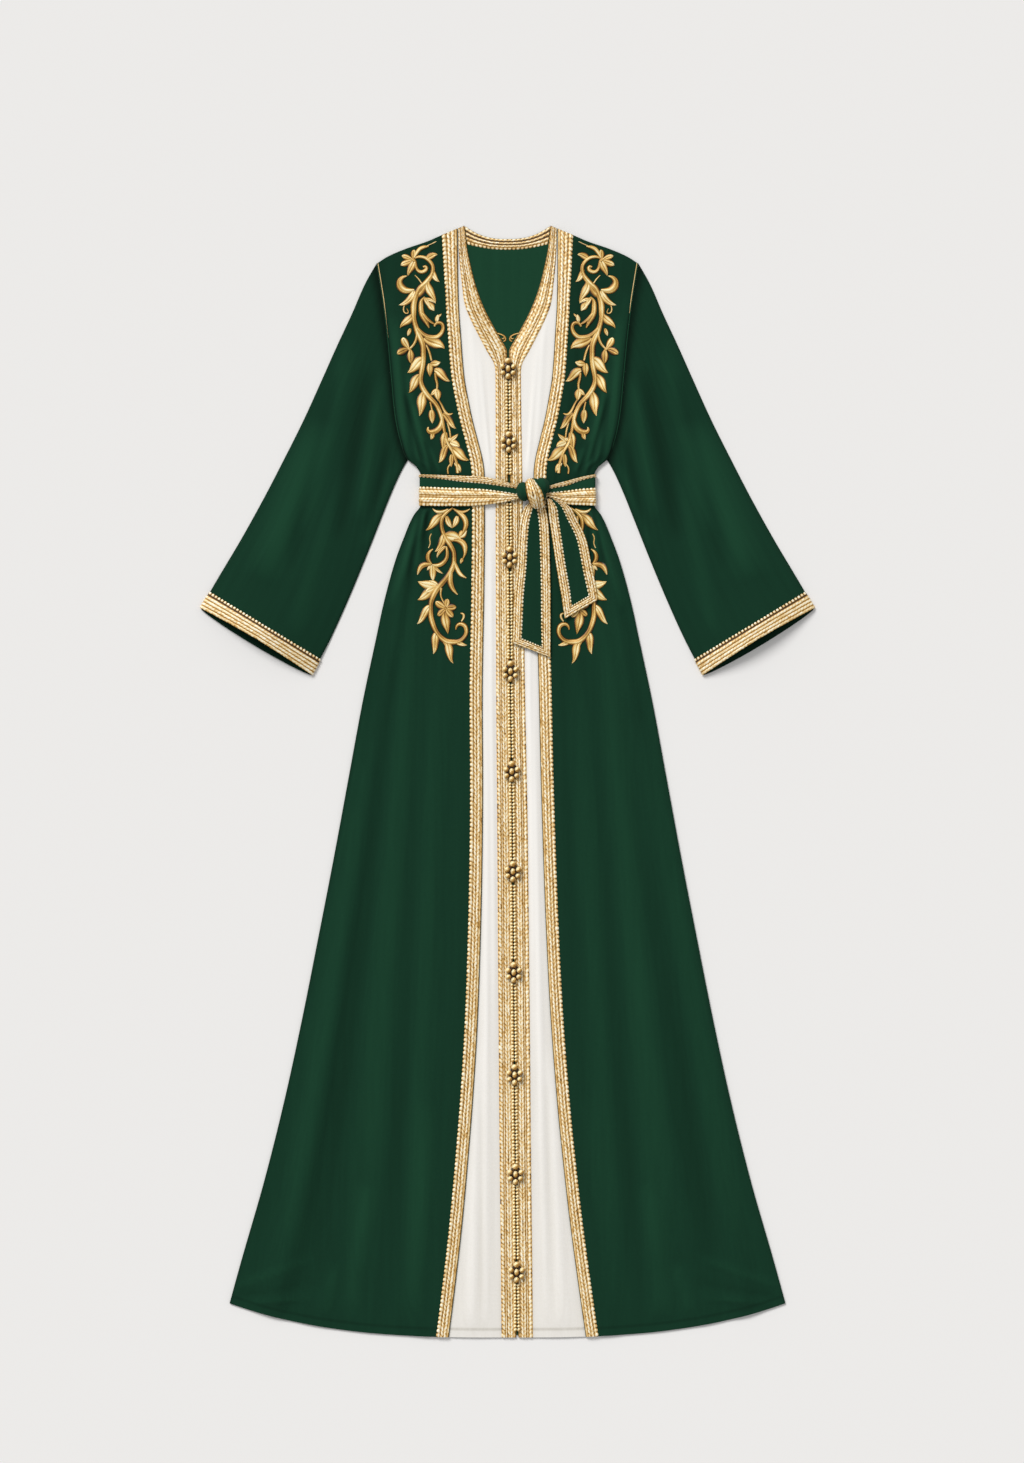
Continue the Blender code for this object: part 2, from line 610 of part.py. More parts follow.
def add_sash():
    """The sash round the waist: a strip under the back, turned at the sides and over the front."""
    turn = SASH_HALF - SASH_TURN
    front = [(row.right, row.top, row.bottom) for row in SASH_FRONT]
    back = [(right, SASH_TOP_DOWN, SASH_BOTTOM_DOWN) for right in (turn, 60, 0, -60, -turn)]

    def ring(end, inset):
        """Points round the sash at one share of its width, this far in from its outer skin."""
        points = []
        corner = SASH_HALF - inset
        z_top = SASH_FRONT_Z + SASH_WALL - inset
        z_low = inset
        rise = SASH_TURN - inset
        down = SASH_TOP_DOWN + end * (SASH_BOTTOM_DOWN - SASH_TOP_DOWN)
        for right, first, last in front:
            points.append((*place(right, first + end * (last - first)), z_top))
        points.append((*place(corner, down), z_top - rise))
        points.append((*place(corner, down), z_low + rise))
        for right, first, last in back:
            points.append((*place(right, first + end * (last - first)), z_low))
        points.append((*place(-corner, down), z_low + rise))
        points.append((*place(-corner, down), z_top - rise))
        return points

    outer = [ring(end, 0.0) for end in (0.0, 0.5, 1.0)]
    inner = [ring(end, SASH_WALL) for end in (0.0, 0.5, 1.0)]
    tube("sash", green_cloth, outer, inner)
    for name, first, last in (("upper", "top", "upper_braid"), ("lower", "lower_braid", "bottom")):
        edges = [
            [(*place(row.right, getattr(row, edge)), SASH_BRAID_Z) for row in SASH_FRONT]
            for edge in (first, last)
        ]
        sheet(f"sash_braid_{name}", gold_braid, edges, SASH_BRAID_WALL)


def ball(right, up, radii, base_z, centre_z, sides, rings):
    """Points and faces of a faceted ball, flattened where it would pass below its base."""
    points = [(right, up, centre_z + radii[2])]
    for ring in range(1, rings):
        polar = math.pi * ring / rings
        for side in range(sides):
            turn = 2 * math.pi * (side + 0.5 * (ring % 2)) / sides
            points.append((
                right + radii[0] * math.sin(polar) * math.cos(turn),
                up + radii[1] * math.sin(polar) * math.sin(turn),
                max(base_z, centre_z + radii[2] * math.cos(polar)),
            ))
    points.append((right, up, max(base_z, centre_z - radii[2])))
    last = len(points) - 1
    faces = []
    for side in range(sides):
        after = (side + 1) % sides
        faces.append((0, 1 + side, 1 + after))
        for ring in range(rings - 2):
            a, b = 1 + ring * sides + side, 1 + ring * sides + after
            c, d = a + sides, b + sides
            if ring % 2:
                faces += [(a, c, d), (a, d, b)]
            else:
                faces += [(a, c, b), (b, c, d)]
        start = 1 + (rings - 2) * sides
        faces.append((start + side, last, start + after))
    return points, faces


def joined(name, finish, shapes):
    """One body from overlapping closed shapes, by Boolean unions."""
    first, *others = [
        add_solid(f"{name}_shape_{i}", points, faces, finish)
        for i, (points, faces) in enumerate(shapes)
    ]
    for other in others:
        union = first.modifiers.new("Join", "BOOLEAN")
        union.operation = "UNION"
        union.object = other
        view = bpy.context.evaluated_depsgraph_get()
        mesh = bpy.data.meshes.new_from_object(first.evaluated_get(view))
        first.modifiers.clear()
        first.data = mesh
        bpy.data.objects.remove(other)
    first.name = name
    first.data.name = name
    return first


def add_knot():
    shapes = [
        ball(*place(lobe.right, lobe.down), (lobe.half_width, lobe.half_length, lobe.height),
             KNOT_Z, KNOT_Z + KNOT_CENTRE_UP, LOBE_SIDES, LOBE_RINGS)
        for lobe in KNOT_LOBES
    ]
    joined("sash_knot", green_cloth, shapes)


def tail_lower(rows, base):
    """Lower face of a sash tail, with columns under its two side braids."""
    grid = []
    for row in rows:
        start = np.array(place(row.left, row.left_down))
        end = np.array(place(row.right, row.right_down))
        width = np.hypot(*(end - start))
        edge = min(TAIL_BRAID_WIDTH / width, TAIL_BRAID_MOST_SHARE)
        z = base(row)
        grid.append([
            (*(start + share * (end - start)), z) for share in (0, edge, 0.5, 1 - edge, 1)
        ])
    return grid


def add_tail(name, rows, base):
    lower = tail_lower(rows, base)
    sheet(f"sash_tail_{name}", green_cloth, lower, SASH_WALL)
    raised = np.array(lower)
    raised[..., 2] += SASH_WALL + GAP
    last = len(rows) - 2
    sheet(f"sash_tail_braid_{name}", gold_braid, raised, SASH_BRAID_WALL,
          keep=lambda r, c: c in (0, 3) or r == last)


def add_buttons():
    base_half_width, base_half_length, base_height = BUTTON_BASE
    disc = [
        (base_half_width * math.cos(turn), base_half_length * math.sin(turn), 0.0)
        for turn in (2 * math.pi * k / BASE_SIDES + BASE_TURN for k in range(BASE_SIDES))
    ]
    lower = np.array(disc)
    upper = lower + np.array((0, 0, base_height))
    shapes = [walled(lower, upper, [(0, k, k + 1) for k in range(1, BASE_SIDES - 1)])]
    for row in BUTTON_BALLS:
        shapes.append(ball(row.right, row.up, (row.radius,) * 3, BALL_FOOT,
                           row.radius * BALL_CENTRE_SHARE, BALL_SIDES, BALL_RINGS))
    first = joined("button_01", gold_thread, shapes)
    for number, down in enumerate(BUTTON_DOWNS, 1):
        made = first
        if number > 1:
            made = bpy.data.objects.new(f"button_{number:02}", first.data)
            bpy.context.scene.collection.objects.link(made)
        x, y = place(straight(MIDDLE_DRIFT, "right", down), down)
        made.location = Vector((x, y, BUTTON_Z + lift(down))) * MM


def stem_shapes(wide_from, wide_to, route):
    """Four-sided pieces that follow a stem, each a little over the next."""
    route = np.array(route, float)
    directions = np.gradient(route, axis=0)
    normals = np.column_stack([-directions[:, 1], directions[:, 0]])
    normals /= np.linalg.norm(normals, axis=1)[:, None]
    halves = np.linspace(wide_from, wide_to, len(route))[:, None] / 2
    left, right = route + normals * halves, route - normals * halves
    return [
        [left[i], left[i + 1], right[i + 1], right[i]] for i in range(len(route) - 1)
    ]


def leaf_shape(leaf):
    """A pointed leaf as five points; its turn is 0 towards the middle line and 90 down."""
    turn = math.radians(leaf.turn)
    along = np.array((-math.cos(turn), math.sin(turn)))
    across = np.array((-along[1], along[0]))
    root = np.array((leaf.out, leaf.down))
    half = leaf.wide / 2
    spots = ((-0.1, -0.3), (0.4, -1.0), (1.0, 0.0), (0.45, 0.8), (-0.1, 0.3))
    return [root + along * (leaf.long * a) + across * (half * b) for a, b in spots]


def add_spray(name, side, stems, leaves, panel, outward=0.0):
    """Embroidery as one raised layer: the union of its stems and leaves, laid on the panel."""
    shapes = [piece for stem in stems for piece in stem_shapes(*stem)]
    shapes += [leaf_shape(leaf) for leaf in leaves]
    points, polygons = [], []
    for shape in shapes:
        plan = [
            place(straight(MIDDLE_DRIFT, "right", down) + side * (out + outward), down)
            for out, down in shape
        ]
        area = sum(a[0] * b[1] - b[0] * a[1] for a, b in zip(plan, plan[1:] + plan[:1]))
        start = len(points)
        points += [Vector(p) for p in (plan if area > 0 else plan[::-1])]
        polygons.append(list(range(start, len(points))))
    flat, _, triangles, *_ = delaunay_2d_cdt(points, [], polygons, 1, SAME_POINT)
    tree = BVHTree.FromPolygons(
        [vertex.co / MM for vertex in panel.data.vertices],
        [tuple(face.vertices) for face in panel.data.polygons],
    )

    def panel_height(x, y):
        return tree.ray_cast(Vector((x, y, ABOVE_ALL)), Vector((0, 0, -1)))[0].z

    lower = np.array([(p.x, p.y, panel_height(p.x, p.y) + SPRAY_GAP) for p in flat])
    for triangle in triangles:
        corners = list(triangle)
        for shares in SETTLE_SHARES:
            x, y, z = np.array(shares) @ lower[corners]
            lower[corners, 2] += max(0.0, panel_height(x, y) + SPRAY_LEAST_GAP - z)
    upper = lower + np.array((0, 0, SPRAY_WALL))
    solid = walled(lower, upper, [tuple(face) for face in triangles])
    add_solid(name, *solid, gold_thread)


def main():
    for old in list(bpy.data.objects):
        bpy.data.objects.remove(old)
    add_back()
    add_neck_band()
    for side, name in ((-1, "left"), (1, "right")):
        panel = add_front_half(side, name)
        add_sleeve(side, name)
        add_spray(f"spray_upper_{name}", side, UPPER_STEMS, UPPER_LEAVES, panel)
        outward = LOWER_RIGHT_OUTWARD if side > 0 else 0.0
        add_spray(f"spray_lower_{name}", side, LOWER_STEMS, LOWER_LEAVES, panel, outward)
    add_sash()
    add_knot()
    add_tail("long", LONG_TAIL, lambda row: TAIL_Z + lift(row.left_down))
    add_tail("short", SHORT_TAIL, lambda row: KNOT_Z + row.z)
    add_buttons()


main()
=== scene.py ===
"""Looks of a dark green kaftan laid flat: crepe, gold braid, satin-stitch sprays and a tied sash.

Sizes are in millimetres and become metres where a mesh is made. "Down" is measured from the neck
points towards the hem, "out" from the middle line, and "right" is +X. The cut repeats the CAD's.
"""

import math
from collections import namedtuple

import bpy
import numpy as np
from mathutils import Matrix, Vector
from mathutils.bvhtree import BVHTree


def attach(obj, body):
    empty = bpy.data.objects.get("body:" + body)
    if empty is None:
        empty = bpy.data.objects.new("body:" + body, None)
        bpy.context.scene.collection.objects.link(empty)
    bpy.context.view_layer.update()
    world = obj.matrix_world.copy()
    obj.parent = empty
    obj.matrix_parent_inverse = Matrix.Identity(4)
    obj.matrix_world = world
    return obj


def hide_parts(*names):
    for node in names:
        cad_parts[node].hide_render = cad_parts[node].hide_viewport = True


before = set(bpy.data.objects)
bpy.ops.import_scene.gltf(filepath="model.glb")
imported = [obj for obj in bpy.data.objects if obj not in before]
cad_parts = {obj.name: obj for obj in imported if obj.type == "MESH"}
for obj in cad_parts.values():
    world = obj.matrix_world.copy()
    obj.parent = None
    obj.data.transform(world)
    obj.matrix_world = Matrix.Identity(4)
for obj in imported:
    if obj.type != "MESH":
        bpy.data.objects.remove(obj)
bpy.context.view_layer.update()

MM = 0.001
SHARP_ANGLE = math.radians(60)

# Cut of the garment, in the CAD's own sizes
LENGTH = 1500.0
UNDERARM_DOWN = 316.0
NECK_HALF = 58.0
BACK_NECK_DIP = 18.0
BACK_NECK_POWER = 2.5
SHOULDER_FADE_POWER = 1.5
HEM_HALF = 375.0
HEM_RISE = 46.0
HEM_POWER = 2.9
HEM_CURVE_FROM = 1150.0
BACK_HEM_SHORTER = 3.0
CLOTH = 1.2
INSET_CLOTH = 1.0
SLEEVE_CLOTH = 0.9
TAIL_CLOTH = 1.3
WAIST_LIFT = 1.9
INSET_UNDERLAP = 25.0

# Heights above the surface: the upper face of each layer, and the foot of what is sewn on it
BACK_TOP = 1.2
INSET_TOP = 2.5
FRONT_OVER_INSET_TOP = 4.0
FRONT_SIDE_TOP = 2.5
FRONT_LEAST_TOP = 2.2
INNER_BRAID_FOOT = 2.7
OUTER_BRAID_FOOT = 4.2
BUTTON_FOOT = 3.9
SASH_TOP = 9.5
SASH_BRAID_FOOT = 9.6
KNOT_FOOT = 10.2
# How far a braid sinks into its cloth, and how far the back's underside is held off the floor
BRAID_SUNK = 0.15
BACK_CLEAR = 0.05

# Braids, placket knots and buttons
OUTER_BRAID_WIDTH = 16.0
OUTER_BRAID_TOP_WIDTH = 20.0
OUTER_BRAID_TOP_REACH = 90.0
BRAIDS_APART = 0.6
FRONT_INSIDE_BRAID = 0.7
PLACKET_GAP_HALF = 1.5
PLACKET_KNOTS_FROM = 206.0
PLACKET_KNOTS_END_UP = 8.0
PLACKET_KNOT_STEP = 4.6
PLACKET_KNOT_OUT = 2.3
PLACKET_KNOT_UP = 1.3
PLACKET_KNOT = (2.3, 2.5, 1.5)
BUTTON_REACH = 16.0
BUTTON_BASE = (7.5, 11.0, 1.2)

# The band inside the back neck
NECK_BAND_BELOW = 0.3
NECK_BAND_WIDTH = 14.0
NECK_BAND_CORNER = 8.0
NECK_BAND_CORNER_POWER = 3
NECK_BAND_FOOT = 1.3
NECK_BAND_INSIDE = 0.8
NECK_BAND_TAPER = 0.12

# The sash and its tails
SASH_TOP_DOWN = 336.0
SASH_BOTTOM_DOWN = 378.0
SASH_FLAT_HALF = 116.0
SASH_HALF = 118.6
SASH_UNDERSIDE = 0.1
SASH_GATHER_AT = 43.0
SASH_GATHER_REACH = 26.0
SASH_GATHERS = 5
SASH_GATHER_HIGH = 0.9
SASH_BRAID_TURN = 4.7
TAIL_BRAID_WIDTH = 12.3
TAIL_BRAID_MOST_SHARE = 0.38
TAIL_BRAID_FOOT = 1.5
TAIL_TOP = 1.4
TAIL_SWELL = 0.5

# Sleeves, cuffs and cuff bands
CUFF_BAND_WIDTH = 22.5
CUFF_BAND_OVER = 0.4
CUFF_BAND_OUTSIDE = 0.6
CUFF_BAND_HIGHER = 0.2
CUFF_BAND_UNDERSIDE = 0.9
CUFF_MOUTH = 15.0
CUFF_BACK_BULGE = 6.0
CUFF_FRONT_HOLLOW = 3.0
CUFF_LIFT = 1.5
CUFF_ROWS = 8
SLEEVE_PUFF = 3.5
SLEEVE_FLAT_HIGH = 2.5
SLEEVE_LEAST_HIGH = 2.3
SLEEVE_SIDE_ROUND = 4.0
SLEEVE_SEAM_TUCK = 0.4
SLEEVE_CREASES_IN = 20.0
SLEEVE_RUN = 420.0

# A plait stitch is really about 1.5 mm long. It is drawn at the 5 to 6 mm of its larger turns, which show.
STITCH = 5.8
SASH_STITCH = 5.0
# Relief and brightness of a braid's stitches: rows brighter than THREAD_FROM are threads, which vary,
# and its sides down to its foot are painted dark, as shade
BRAID_DIP = 0.7
THREAD_FROM = 0.3
THREAD_FLECK = 0.15
BRAID_FOOT_SHADED_TONE = 0.1

# Tones of the cloth, where about 0.55 is its plain colour. Ridges and puffs take painted light, and seams,
# rounded sleeve sides and the ivory beside its braids take painted shade; a sleeve's inside is painted dark,
# as shade. The sleeve seam's reach is a share of its way.
GREEN_TONE = 0.54
BODICE_DARKER = 0.05
RIDGE_PAINTED_LIGHT = 0.1
SKIRT_RIDGE_PAINTED_LIGHT = 0.045
PUFF_PAINTED_LIGHT = 0.05
SIDE_PAINTED_SHADE = 0.12
SEAM_SHADE_REACH = 2.6
ARMHOLE_PAINTED_SHADE = 0.4
BACK_TONE = 0.75
IVORY_TONE = 0.58
IVORY_RIDGE_PAINTED_LIGHT = 0.07
IVORY_EDGE_PAINTED_SHADE = 0.1
IVORY_HEM_DARKER = 0.14
SLEEVE_TONE = 0.52
SLEEVE_RIDGE_PAINTED_LIGHT = 0.08
SLEEVE_SEAM_PAINTED_SHADE = 0.42
SLEEVE_SEAM_REACH = 0.03
SLEEVE_EDGE_PAINTED_SHADE = 0.1
SLEEVE_UNDER_TONE = 0.5
SLEEVE_INSIDE_SHADED_TONE = 0.3

# Stitching, laid hem and armhole puff
HEM_STITCH_UP = 11.0
HEM_STITCH_WIDE = 1.6
GREEN_HEM_STITCH_DARK = 0.16
IVORY_HEM_STITCH_DARK = 0.3
HEM_LAID_SHARE = 0.75
HEM_LAID_UP = 20.0
ARMHOLE_PUFF = 1.6

# How fine the meshes are. A panel's rows are closest where it gathers and hems: from, to and apart.
PANEL_ROWS = ((0, 250, 5.5), (250, 560, 2.8), (560, 1470, 7.0), (1470, 1500, 2.0))
FRONT_STRIP_COLUMNS, FRONT_COLUMNS = 6, 54
INSET_UNDER_BRAID, INSET_SHOWING, INSET_UNDER_FRONT = 3, 16, 4
BACK_ROWS, BACK_COLUMNS = 190, 71
SLEEVE_ROWS, SLEEVE_COLUMNS = 90, 51
SASH_COLUMNS, SASH_BACK_COLUMNS, SASH_ROWS = 110, 40, 13
TAIL_ROWS, TAIL_ACROSS = 90, 13
EDGE_POINTS = 400

# Turns of the search for where an edge crosses a section, and a height that is over every piece
EDGE_TURNS = 6
ABOVE_ALL = 60.0

# Knotted balls: how near to its poles a globe's rings come, the tone of its thread, its turns' relief, and
# the painted light on its upper left and on its turns
BALL_END = 0.05
BALL_TONE = 0.66
BALL_RELIEF = 0.05
BALL_LIT = 0.55
BALL_TURN_PAINTED_LIGHT = 0.2
BALL_CENTRE_UP = 0.9
PLACKET_KNOT_TONE = 0.72

# The sash's knot
LOBE_RINGS, LOBE_AROUND = 28, 40
LOBE_END = 0.02
KNOT_WRAP_FOOT = 9.2
KNOT_WRAP_HIGH = 16.4
KNOT_WRAP_CROWN = 4.5
KNOT_WRAP_END = 0.06
KNOT_WRAP_ROUND = 0.55
KNOT_WRAP_POINTS = 40

# Satin stitch: how far a strip stands out and sinks in, and how its tone varies, with its painted gleam and
# the painted shade at a leaf's root
LEAF_THICK, PETAL_THICK, STEM_THICK = 1.3, 1.5, 1.55
STITCHES_UP = 0.05
STITCHES_SUNK = 0.3
FULL_RELIEF_HALF = 2.2
GLEAM = 0.16
LEAF_ROOT_PAINTED_SHADE = 0.22
STRIP_FLECK = 0.1
LEAF_POINTS = 14
LEAF_LEAST_HALF = 0.15
STEM_STEP = 1.9
STEM_SMOOTHINGS = 3

# The armhole seam and the piping
SEAM_INSIDE = 0.6
SEAM_Z = 2.6
SEAM_RADIUS = 0.9
ARMHOLE_PIPING_IN = 1.2
ARMHOLE_PIPING_UP = 0.5
ARMHOLE_PIPING_RADIUS = 0.55
ARMHOLE_PIPING_END = {"left": 153, "right": 119}
SHOULDER_PIPING_FROM = 89.0
SHOULDER_PIPING_TO = 120.0
SHOULDER_PIPING_BELOW = 5.0
SHOULDER_PIPING_SLOPE = 0.06
SHOULDER_PIPING_Z = 3.2
SHOULDER_PIPING_RADIUS = 0.6
PIPING_TONE = 0.6

# The stage, in metres
FLOOR_REACH = 30.0
FLOOR_LEVEL = -0.0002
FILL_STRENGTH = 0.5
SOFTBOX_STRENGTH = 2.45
SOFTBOX_ANGLE = math.radians(24)
SOFTBOX_TURN = (math.radians(-42), math.radians(-30), 0)
CAMERA_LENS = 85
CAMERA_SENSOR = 36
CAMERA_PLACE = (0.0061, 0.0675, 4.663)


def table(columns, *rows):
    """A short table whose rows answer to the names of its columns."""
    Row = namedtuple("Row", columns)
    return [Row(*row) for row in rows]


CREASE_COLUMNS = "side out down to_out to_down wide high"
BRAID_COLUMNS = "across high tone dip shift spread"
LEAF_COLUMNS = "out down tip_out tip_down wide bend flick"
STITCH_COLUMNS = "across high tone"
TAIL_COLUMNS = "left left_down right right_down z"

# The cut's edges as the CAD has them, by real distance down and out from the middle line
SIDE = table(
    "down out",
    (51, 176.5), (101, 168.5), (153, 162), (205, 157), (262, 151), (292, 144), (316, 134),
    (326, 122), (336, 117), (357, 116.4), (378, 117), (390, 126), (424, 141), (451, 151),
    (505, 166), (560, 178), (640, 195), (748, 215), (856, 235), (964, 256), (1072, 277.5),
    (1180, 301), (1288, 328), (1396, 359), (1454, 375),
)
SHOULDER = table("out down", (58, 0), (84, 11), (109, 21.5), (138, 31.5), (163, 42.5), (176.5, 51.3))
NECK_V = table(
    "down half", (0, 58), (32, 54.5), (54, 50), (76, 44.6), (97, 37.8), (119, 28.4), (170, 0)
)
INNER_BRAID_EDGE = table(
    "down half",
    (0, 67), (43, 65.2), (76, 62), (108, 57.4), (130, 48.6), (151, 38), (170, 28), (186, 19),
    (200, 17), (400, 18.4), (600, 19.2), (800, 20.4), (1000, 20.9), (1500, 21.1),
)
FRONT_EDGE = table(
    "down half",
    (0, 68.2), (108, 66.8), (151, 64), (181, 62), (208, 59.4), (235, 54.7), (262, 49.3),
    (289, 42.5), (316, 36), (336, 33.8), (378, 33.8), (505, 35.8), (613, 38.5), (748, 39.8),
    (856, 41.9), (964, 45.2), (1072, 50), (1180, 57.4), (1234, 62.1), (1342, 72.9),
    (1450, 86.4), (1500, 93.2),
)
# How far right of the middle line the placket lies
MIDDLE_DRIFT = table(
    "down right", (0, 0), (180, 0.8), (330, 2), (505, 3.4), (640, 4.4), (800, 6.6), (1000, 8.4),
    (1125, 9.5), (1234, 10.4), (1396, 12.2), (1500, 13.2),
)
# How much the sash lifts each section of the body, and how deep its folds are
SECTIONS = table(
    "down lift fold inset_fold",
    (0, 0, 0, 0), (90, 0, 0.2, 0), (170, 0, 0.6, 0.2), (215, 0, 1.2, 0.3), (260, 0, 2.0, 0.4),
    (292, 0.25, 2.6, 0.4), (316, 0.65, 2.8, 0.4), (336, 1, 2.2, 0.2), (357, 1, 2.0, 0.2),
    (378, 1, 2.2, 0.2), (397, 0.75, 3.4, 0.4), (424, 0.4, 4.2, 0.5), (460, 0.12, 4.2, 0.6),
    (505, 0, 3.6, 0.6), (560, 0, 3.0, 0.6), (625, 0, 2.6, 0.7), (700, 0, 2.4, 0.8),
    (790, 0, 2.4, 0.8), (970, 0, 2.8, 1.0), (1150, 0, 3.8, 1.2), (1240, 0, 4.6, 1.3),
    (1320, 0, 5.6, 1.5), (1390, 0, 6.6, 1.7), (1440, 0, 7.4, 1.9), (1500, 0, 8.4, 2.1),
)
# Where a front's folds lie between its hidden edge and its side
FOLDS = table(
    "across share",
    (0, 0), (0.15, 0.0), (0.3, 0.1), (0.44, 0.0), (0.57, 0.3), (0.68, 0.05), (0.79, 1.0),
    (0.9, 0.2), (1.0, 0.0),
)
# A sleeve's two edges, from armhole to cuff
OVERARM = table(
    "down out",
    (51.3, 176.9), (76, 191), (119, 210), (162, 230), (208, 250.5), (262, 275), (316, 302),
    (370, 330), (424, 360), (478, 392), (516, 414),
)
UNDERARM = table(
    "down out",
    (316, 134.4), (329, 142), (356, 154.5), (397, 171), (451, 192.5), (505, 215), (559, 239.5),
    (606, 264),
)
# How a sleeve rises along its way, from the cuff band to the armhole
SLEEVE_SECTIONS = table(
    "way lift puff",
    (0.0, 1, 3.8), (0.07, 0.5, 3.0), (0.17, 0, 2.2), (0.3, 0, 1.6), (0.44, 0, 1.2), (0.58, 0, 1.0),
    (0.72, 0, 1.0), (0.85, 0, 0.8), (0.95, 0, 0.4), (1.0, 0, 0),
)
# Its folds across, from over the arm to under it
SLEEVE_FOLDS = table(
    "across share", (0.0, 0), (0.13, 0.45), (0.27, 0.9), (0.41, 0.85), (0.56, 1.1), (0.7, 0.8),
    (0.85, 0.6), (1.0, 0),
)
# The sash's front: its edges and those of its two braids that face each other
SASH_FRONT = table(
    "right top bottom upper_braid lower_braid",
    (-117.5, 336, 378, 339.5, 353), (-90, 337, 378.5, 342, 354), (-60, 338, 378.5, 346, 355),
    (-31, 339.5, 377, 348.5, 356.5), (0, 347, 372.5, 353, 360.5), (13, 351, 369.5, 355, 362.5),
    (33, 352.5, 367.5, 356.5, 362.5), (53, 352.4, 366.5, 356, 361), (66, 348.5, 371, 353.5, 360),
    (80, 345, 376, 351, 358.5), (98, 340, 377.2, 344.5, 356), (117.5, 336, 378, 339.5, 354.5),
)
# The tails, from knot to foot
LONG_TAIL = table(
    TAIL_COLUMNS,
    (31, 373, 46, 373, 8.1), (24, 379, 50.5, 379, 8.0), (17.5, 397, 54.5, 397, 7.6),
    (14.6, 424, 56.2, 424, 7.0), (12.9, 460, 57.2, 460, 6.4), (8.8, 505, 58, 505, 6.2),
    (7.4, 551, 57.9, 571, 6.2), (6.6, 563, 57.8, 583, 6.2),
)
SHORT_TAIL = table(
    TAIL_COLUMNS,
    (53.5, 369, 66, 369, 11.1), (54.6, 380, 84, 380, 11.1), (56.5, 397, 93.5, 397, 8.5),
    (60.5, 424, 106, 424, 7.3), (66, 460, 113.5, 460, 6.5), (72.5, 498, 118.5, 483, 5.9),
    (75.5, 518.5, 120.2, 493, 5.8), (77.5, 530.5, 121.5, 505, 5.8),
)
# The knot's gathered lobes, with their half sizes, and the two edges of the one gold turn over it
KNOT_LOBES = table(
    "right down z wide long high turn pleats depth",
    (21.5, 359.5, 13.0, 9.0, 13.0, 11.5, 0.15, 7, 0.07), (37.5, 360.0, 12.5, 14.0, 19.0, 14.5, 0.3, 9, 0.03),
    (47.0, 352.0, 12.5, 9.5, 11.5, 11.5, 0.35, 7, 0.06),
)
KNOT_WRAP_EDGES = table(
    "right down to_right to_down bow", (23.5, 348.0, 31.0, 379.0, -1.5), (38.0, 345.0, 50.5, 378.5, 2.5)
)
BUTTON_DOWNS = (194, 293, 448, 602, 737, 872, 1008, 1146, 1280, 1412)
# The seven balls of a button cluster about its middle
BUTTON_BALLS = table(
    "right up wide long",
    (0, 11.0, 4.2, 4.0), (0, 0.6, 3.2, 4.6), (0, -9.8, 3.7, 4.0),
    (-7.6, 3.4, 3.7, 3.6), (7.6, 3.4, 3.7, 3.6), (-6.9, -5.2, 3.5, 3.4), (6.9, -5.2, 3.5, 3.4),
)

# Soft creases pressed or gathered into the cloth between two places: ridges, or valleys where
# high is below nothing. Side is -1 or 1 for one of the fronts and 0 for both.
BODY_CREASES = table(
    CREASE_COLUMNS,
    (0, 152, 120, 138, 320, 9, 2.4), (0, 143, 170, 124, 334, 5, -1.5), (0, 136, 190, 117, 334, 6, 2.8),
    (0, 139, 225, 110, 336, 3.2, -2.4), (0, 126, 240, 104, 336, 5, 2.4), (0, 112, 290, 97, 336, 3, -1.4),
    (0, 104, 300, 90, 336, 4, 1.6), (0, 100, 376, 104, 440, 4, 1.8), (0, 107, 378, 113, 450, 3.2, -1.8),
    (0, 111, 378, 124, 470, 4.2, 2.6), (0, 115, 380, 134, 480, 3.4, -1.8), (0, 118, 386, 158, 520, 6, 2.6),
    (0, 92, 378, 96, 430, 4, 1.2),
    (-1, 120, 480, 196, 1420, 24, 3.4), (1, 126, 480, 214, 1400, 26, 3.4),
    (-1, 108, 520, 158, 1440, 16, -2.2), (1, 112, 540, 172, 1440, 16, -2.2),
    (-1, 94, 560, 132, 1480, 18, 2.8), (1, 100, 600, 150, 1480, 18, 2.6),
    (-1, 150, 560, 262, 1440, 18, -2.4), (1, 152, 580, 280, 1430, 20, -2.4),
    (-1, 172, 640, 300, 1420, 20, 3.0), (1, 176, 660, 318, 1410, 20, 3.0),
    (0, 108, 1180, 122, 1492, 14, 2.6), (0, 190, 1290, 214, 1482, 14, 2.6),
    (0, 374, 1434, 258, 1392, 5, 1.7), (0, 372, 1448, 250, 1424, 5, -1.3), (0, 366, 1456, 262, 1446, 4, 1.4),
    (0, 230, 1400, 246, 1474, 9, 2.0),
)
SLEEVE_CREASES = table(
    CREASE_COLUMNS,
    (0, 250, 262, 330, 480, 24, 3.0), (0, 184, 190, 232, 430, 12, -2.2), (0, 168, 200, 200, 400, 9, 2.2),
    (0, 208, 150, 276, 420, 12, 2.0), (0, 226, 200, 296, 470, 10, -1.8), (0, 158, 280, 186, 420, 6, -1.6),
    (-1, 215, 330, 292, 560, 12, 1.6), (1, 230, 330, 280, 560, 12, 1.6), (0, 150, 320, 196, 440, 6, 1.6),
)
INSET_CREASES = table(
    CREASE_COLUMNS,
    (0, 25, 420, 26, 1100, 3.2, 1.0), (-1, 33, 600, 42, 1490, 4.5, 1.3), (1, 31, 640, 38, 1480, 4.5, 1.3),
    (0, 50, 1100, 62, 1495, 7, 1.4), (0, 40, 160, 25, 330, 3.0, 1.0), (0, 50, 120, 38, 300, 4, 1.0),
    (0, 31, 200, 22, 330, 2.4, -0.6), (0, 44, 1150, 50, 1495, 5, -1.0),
)
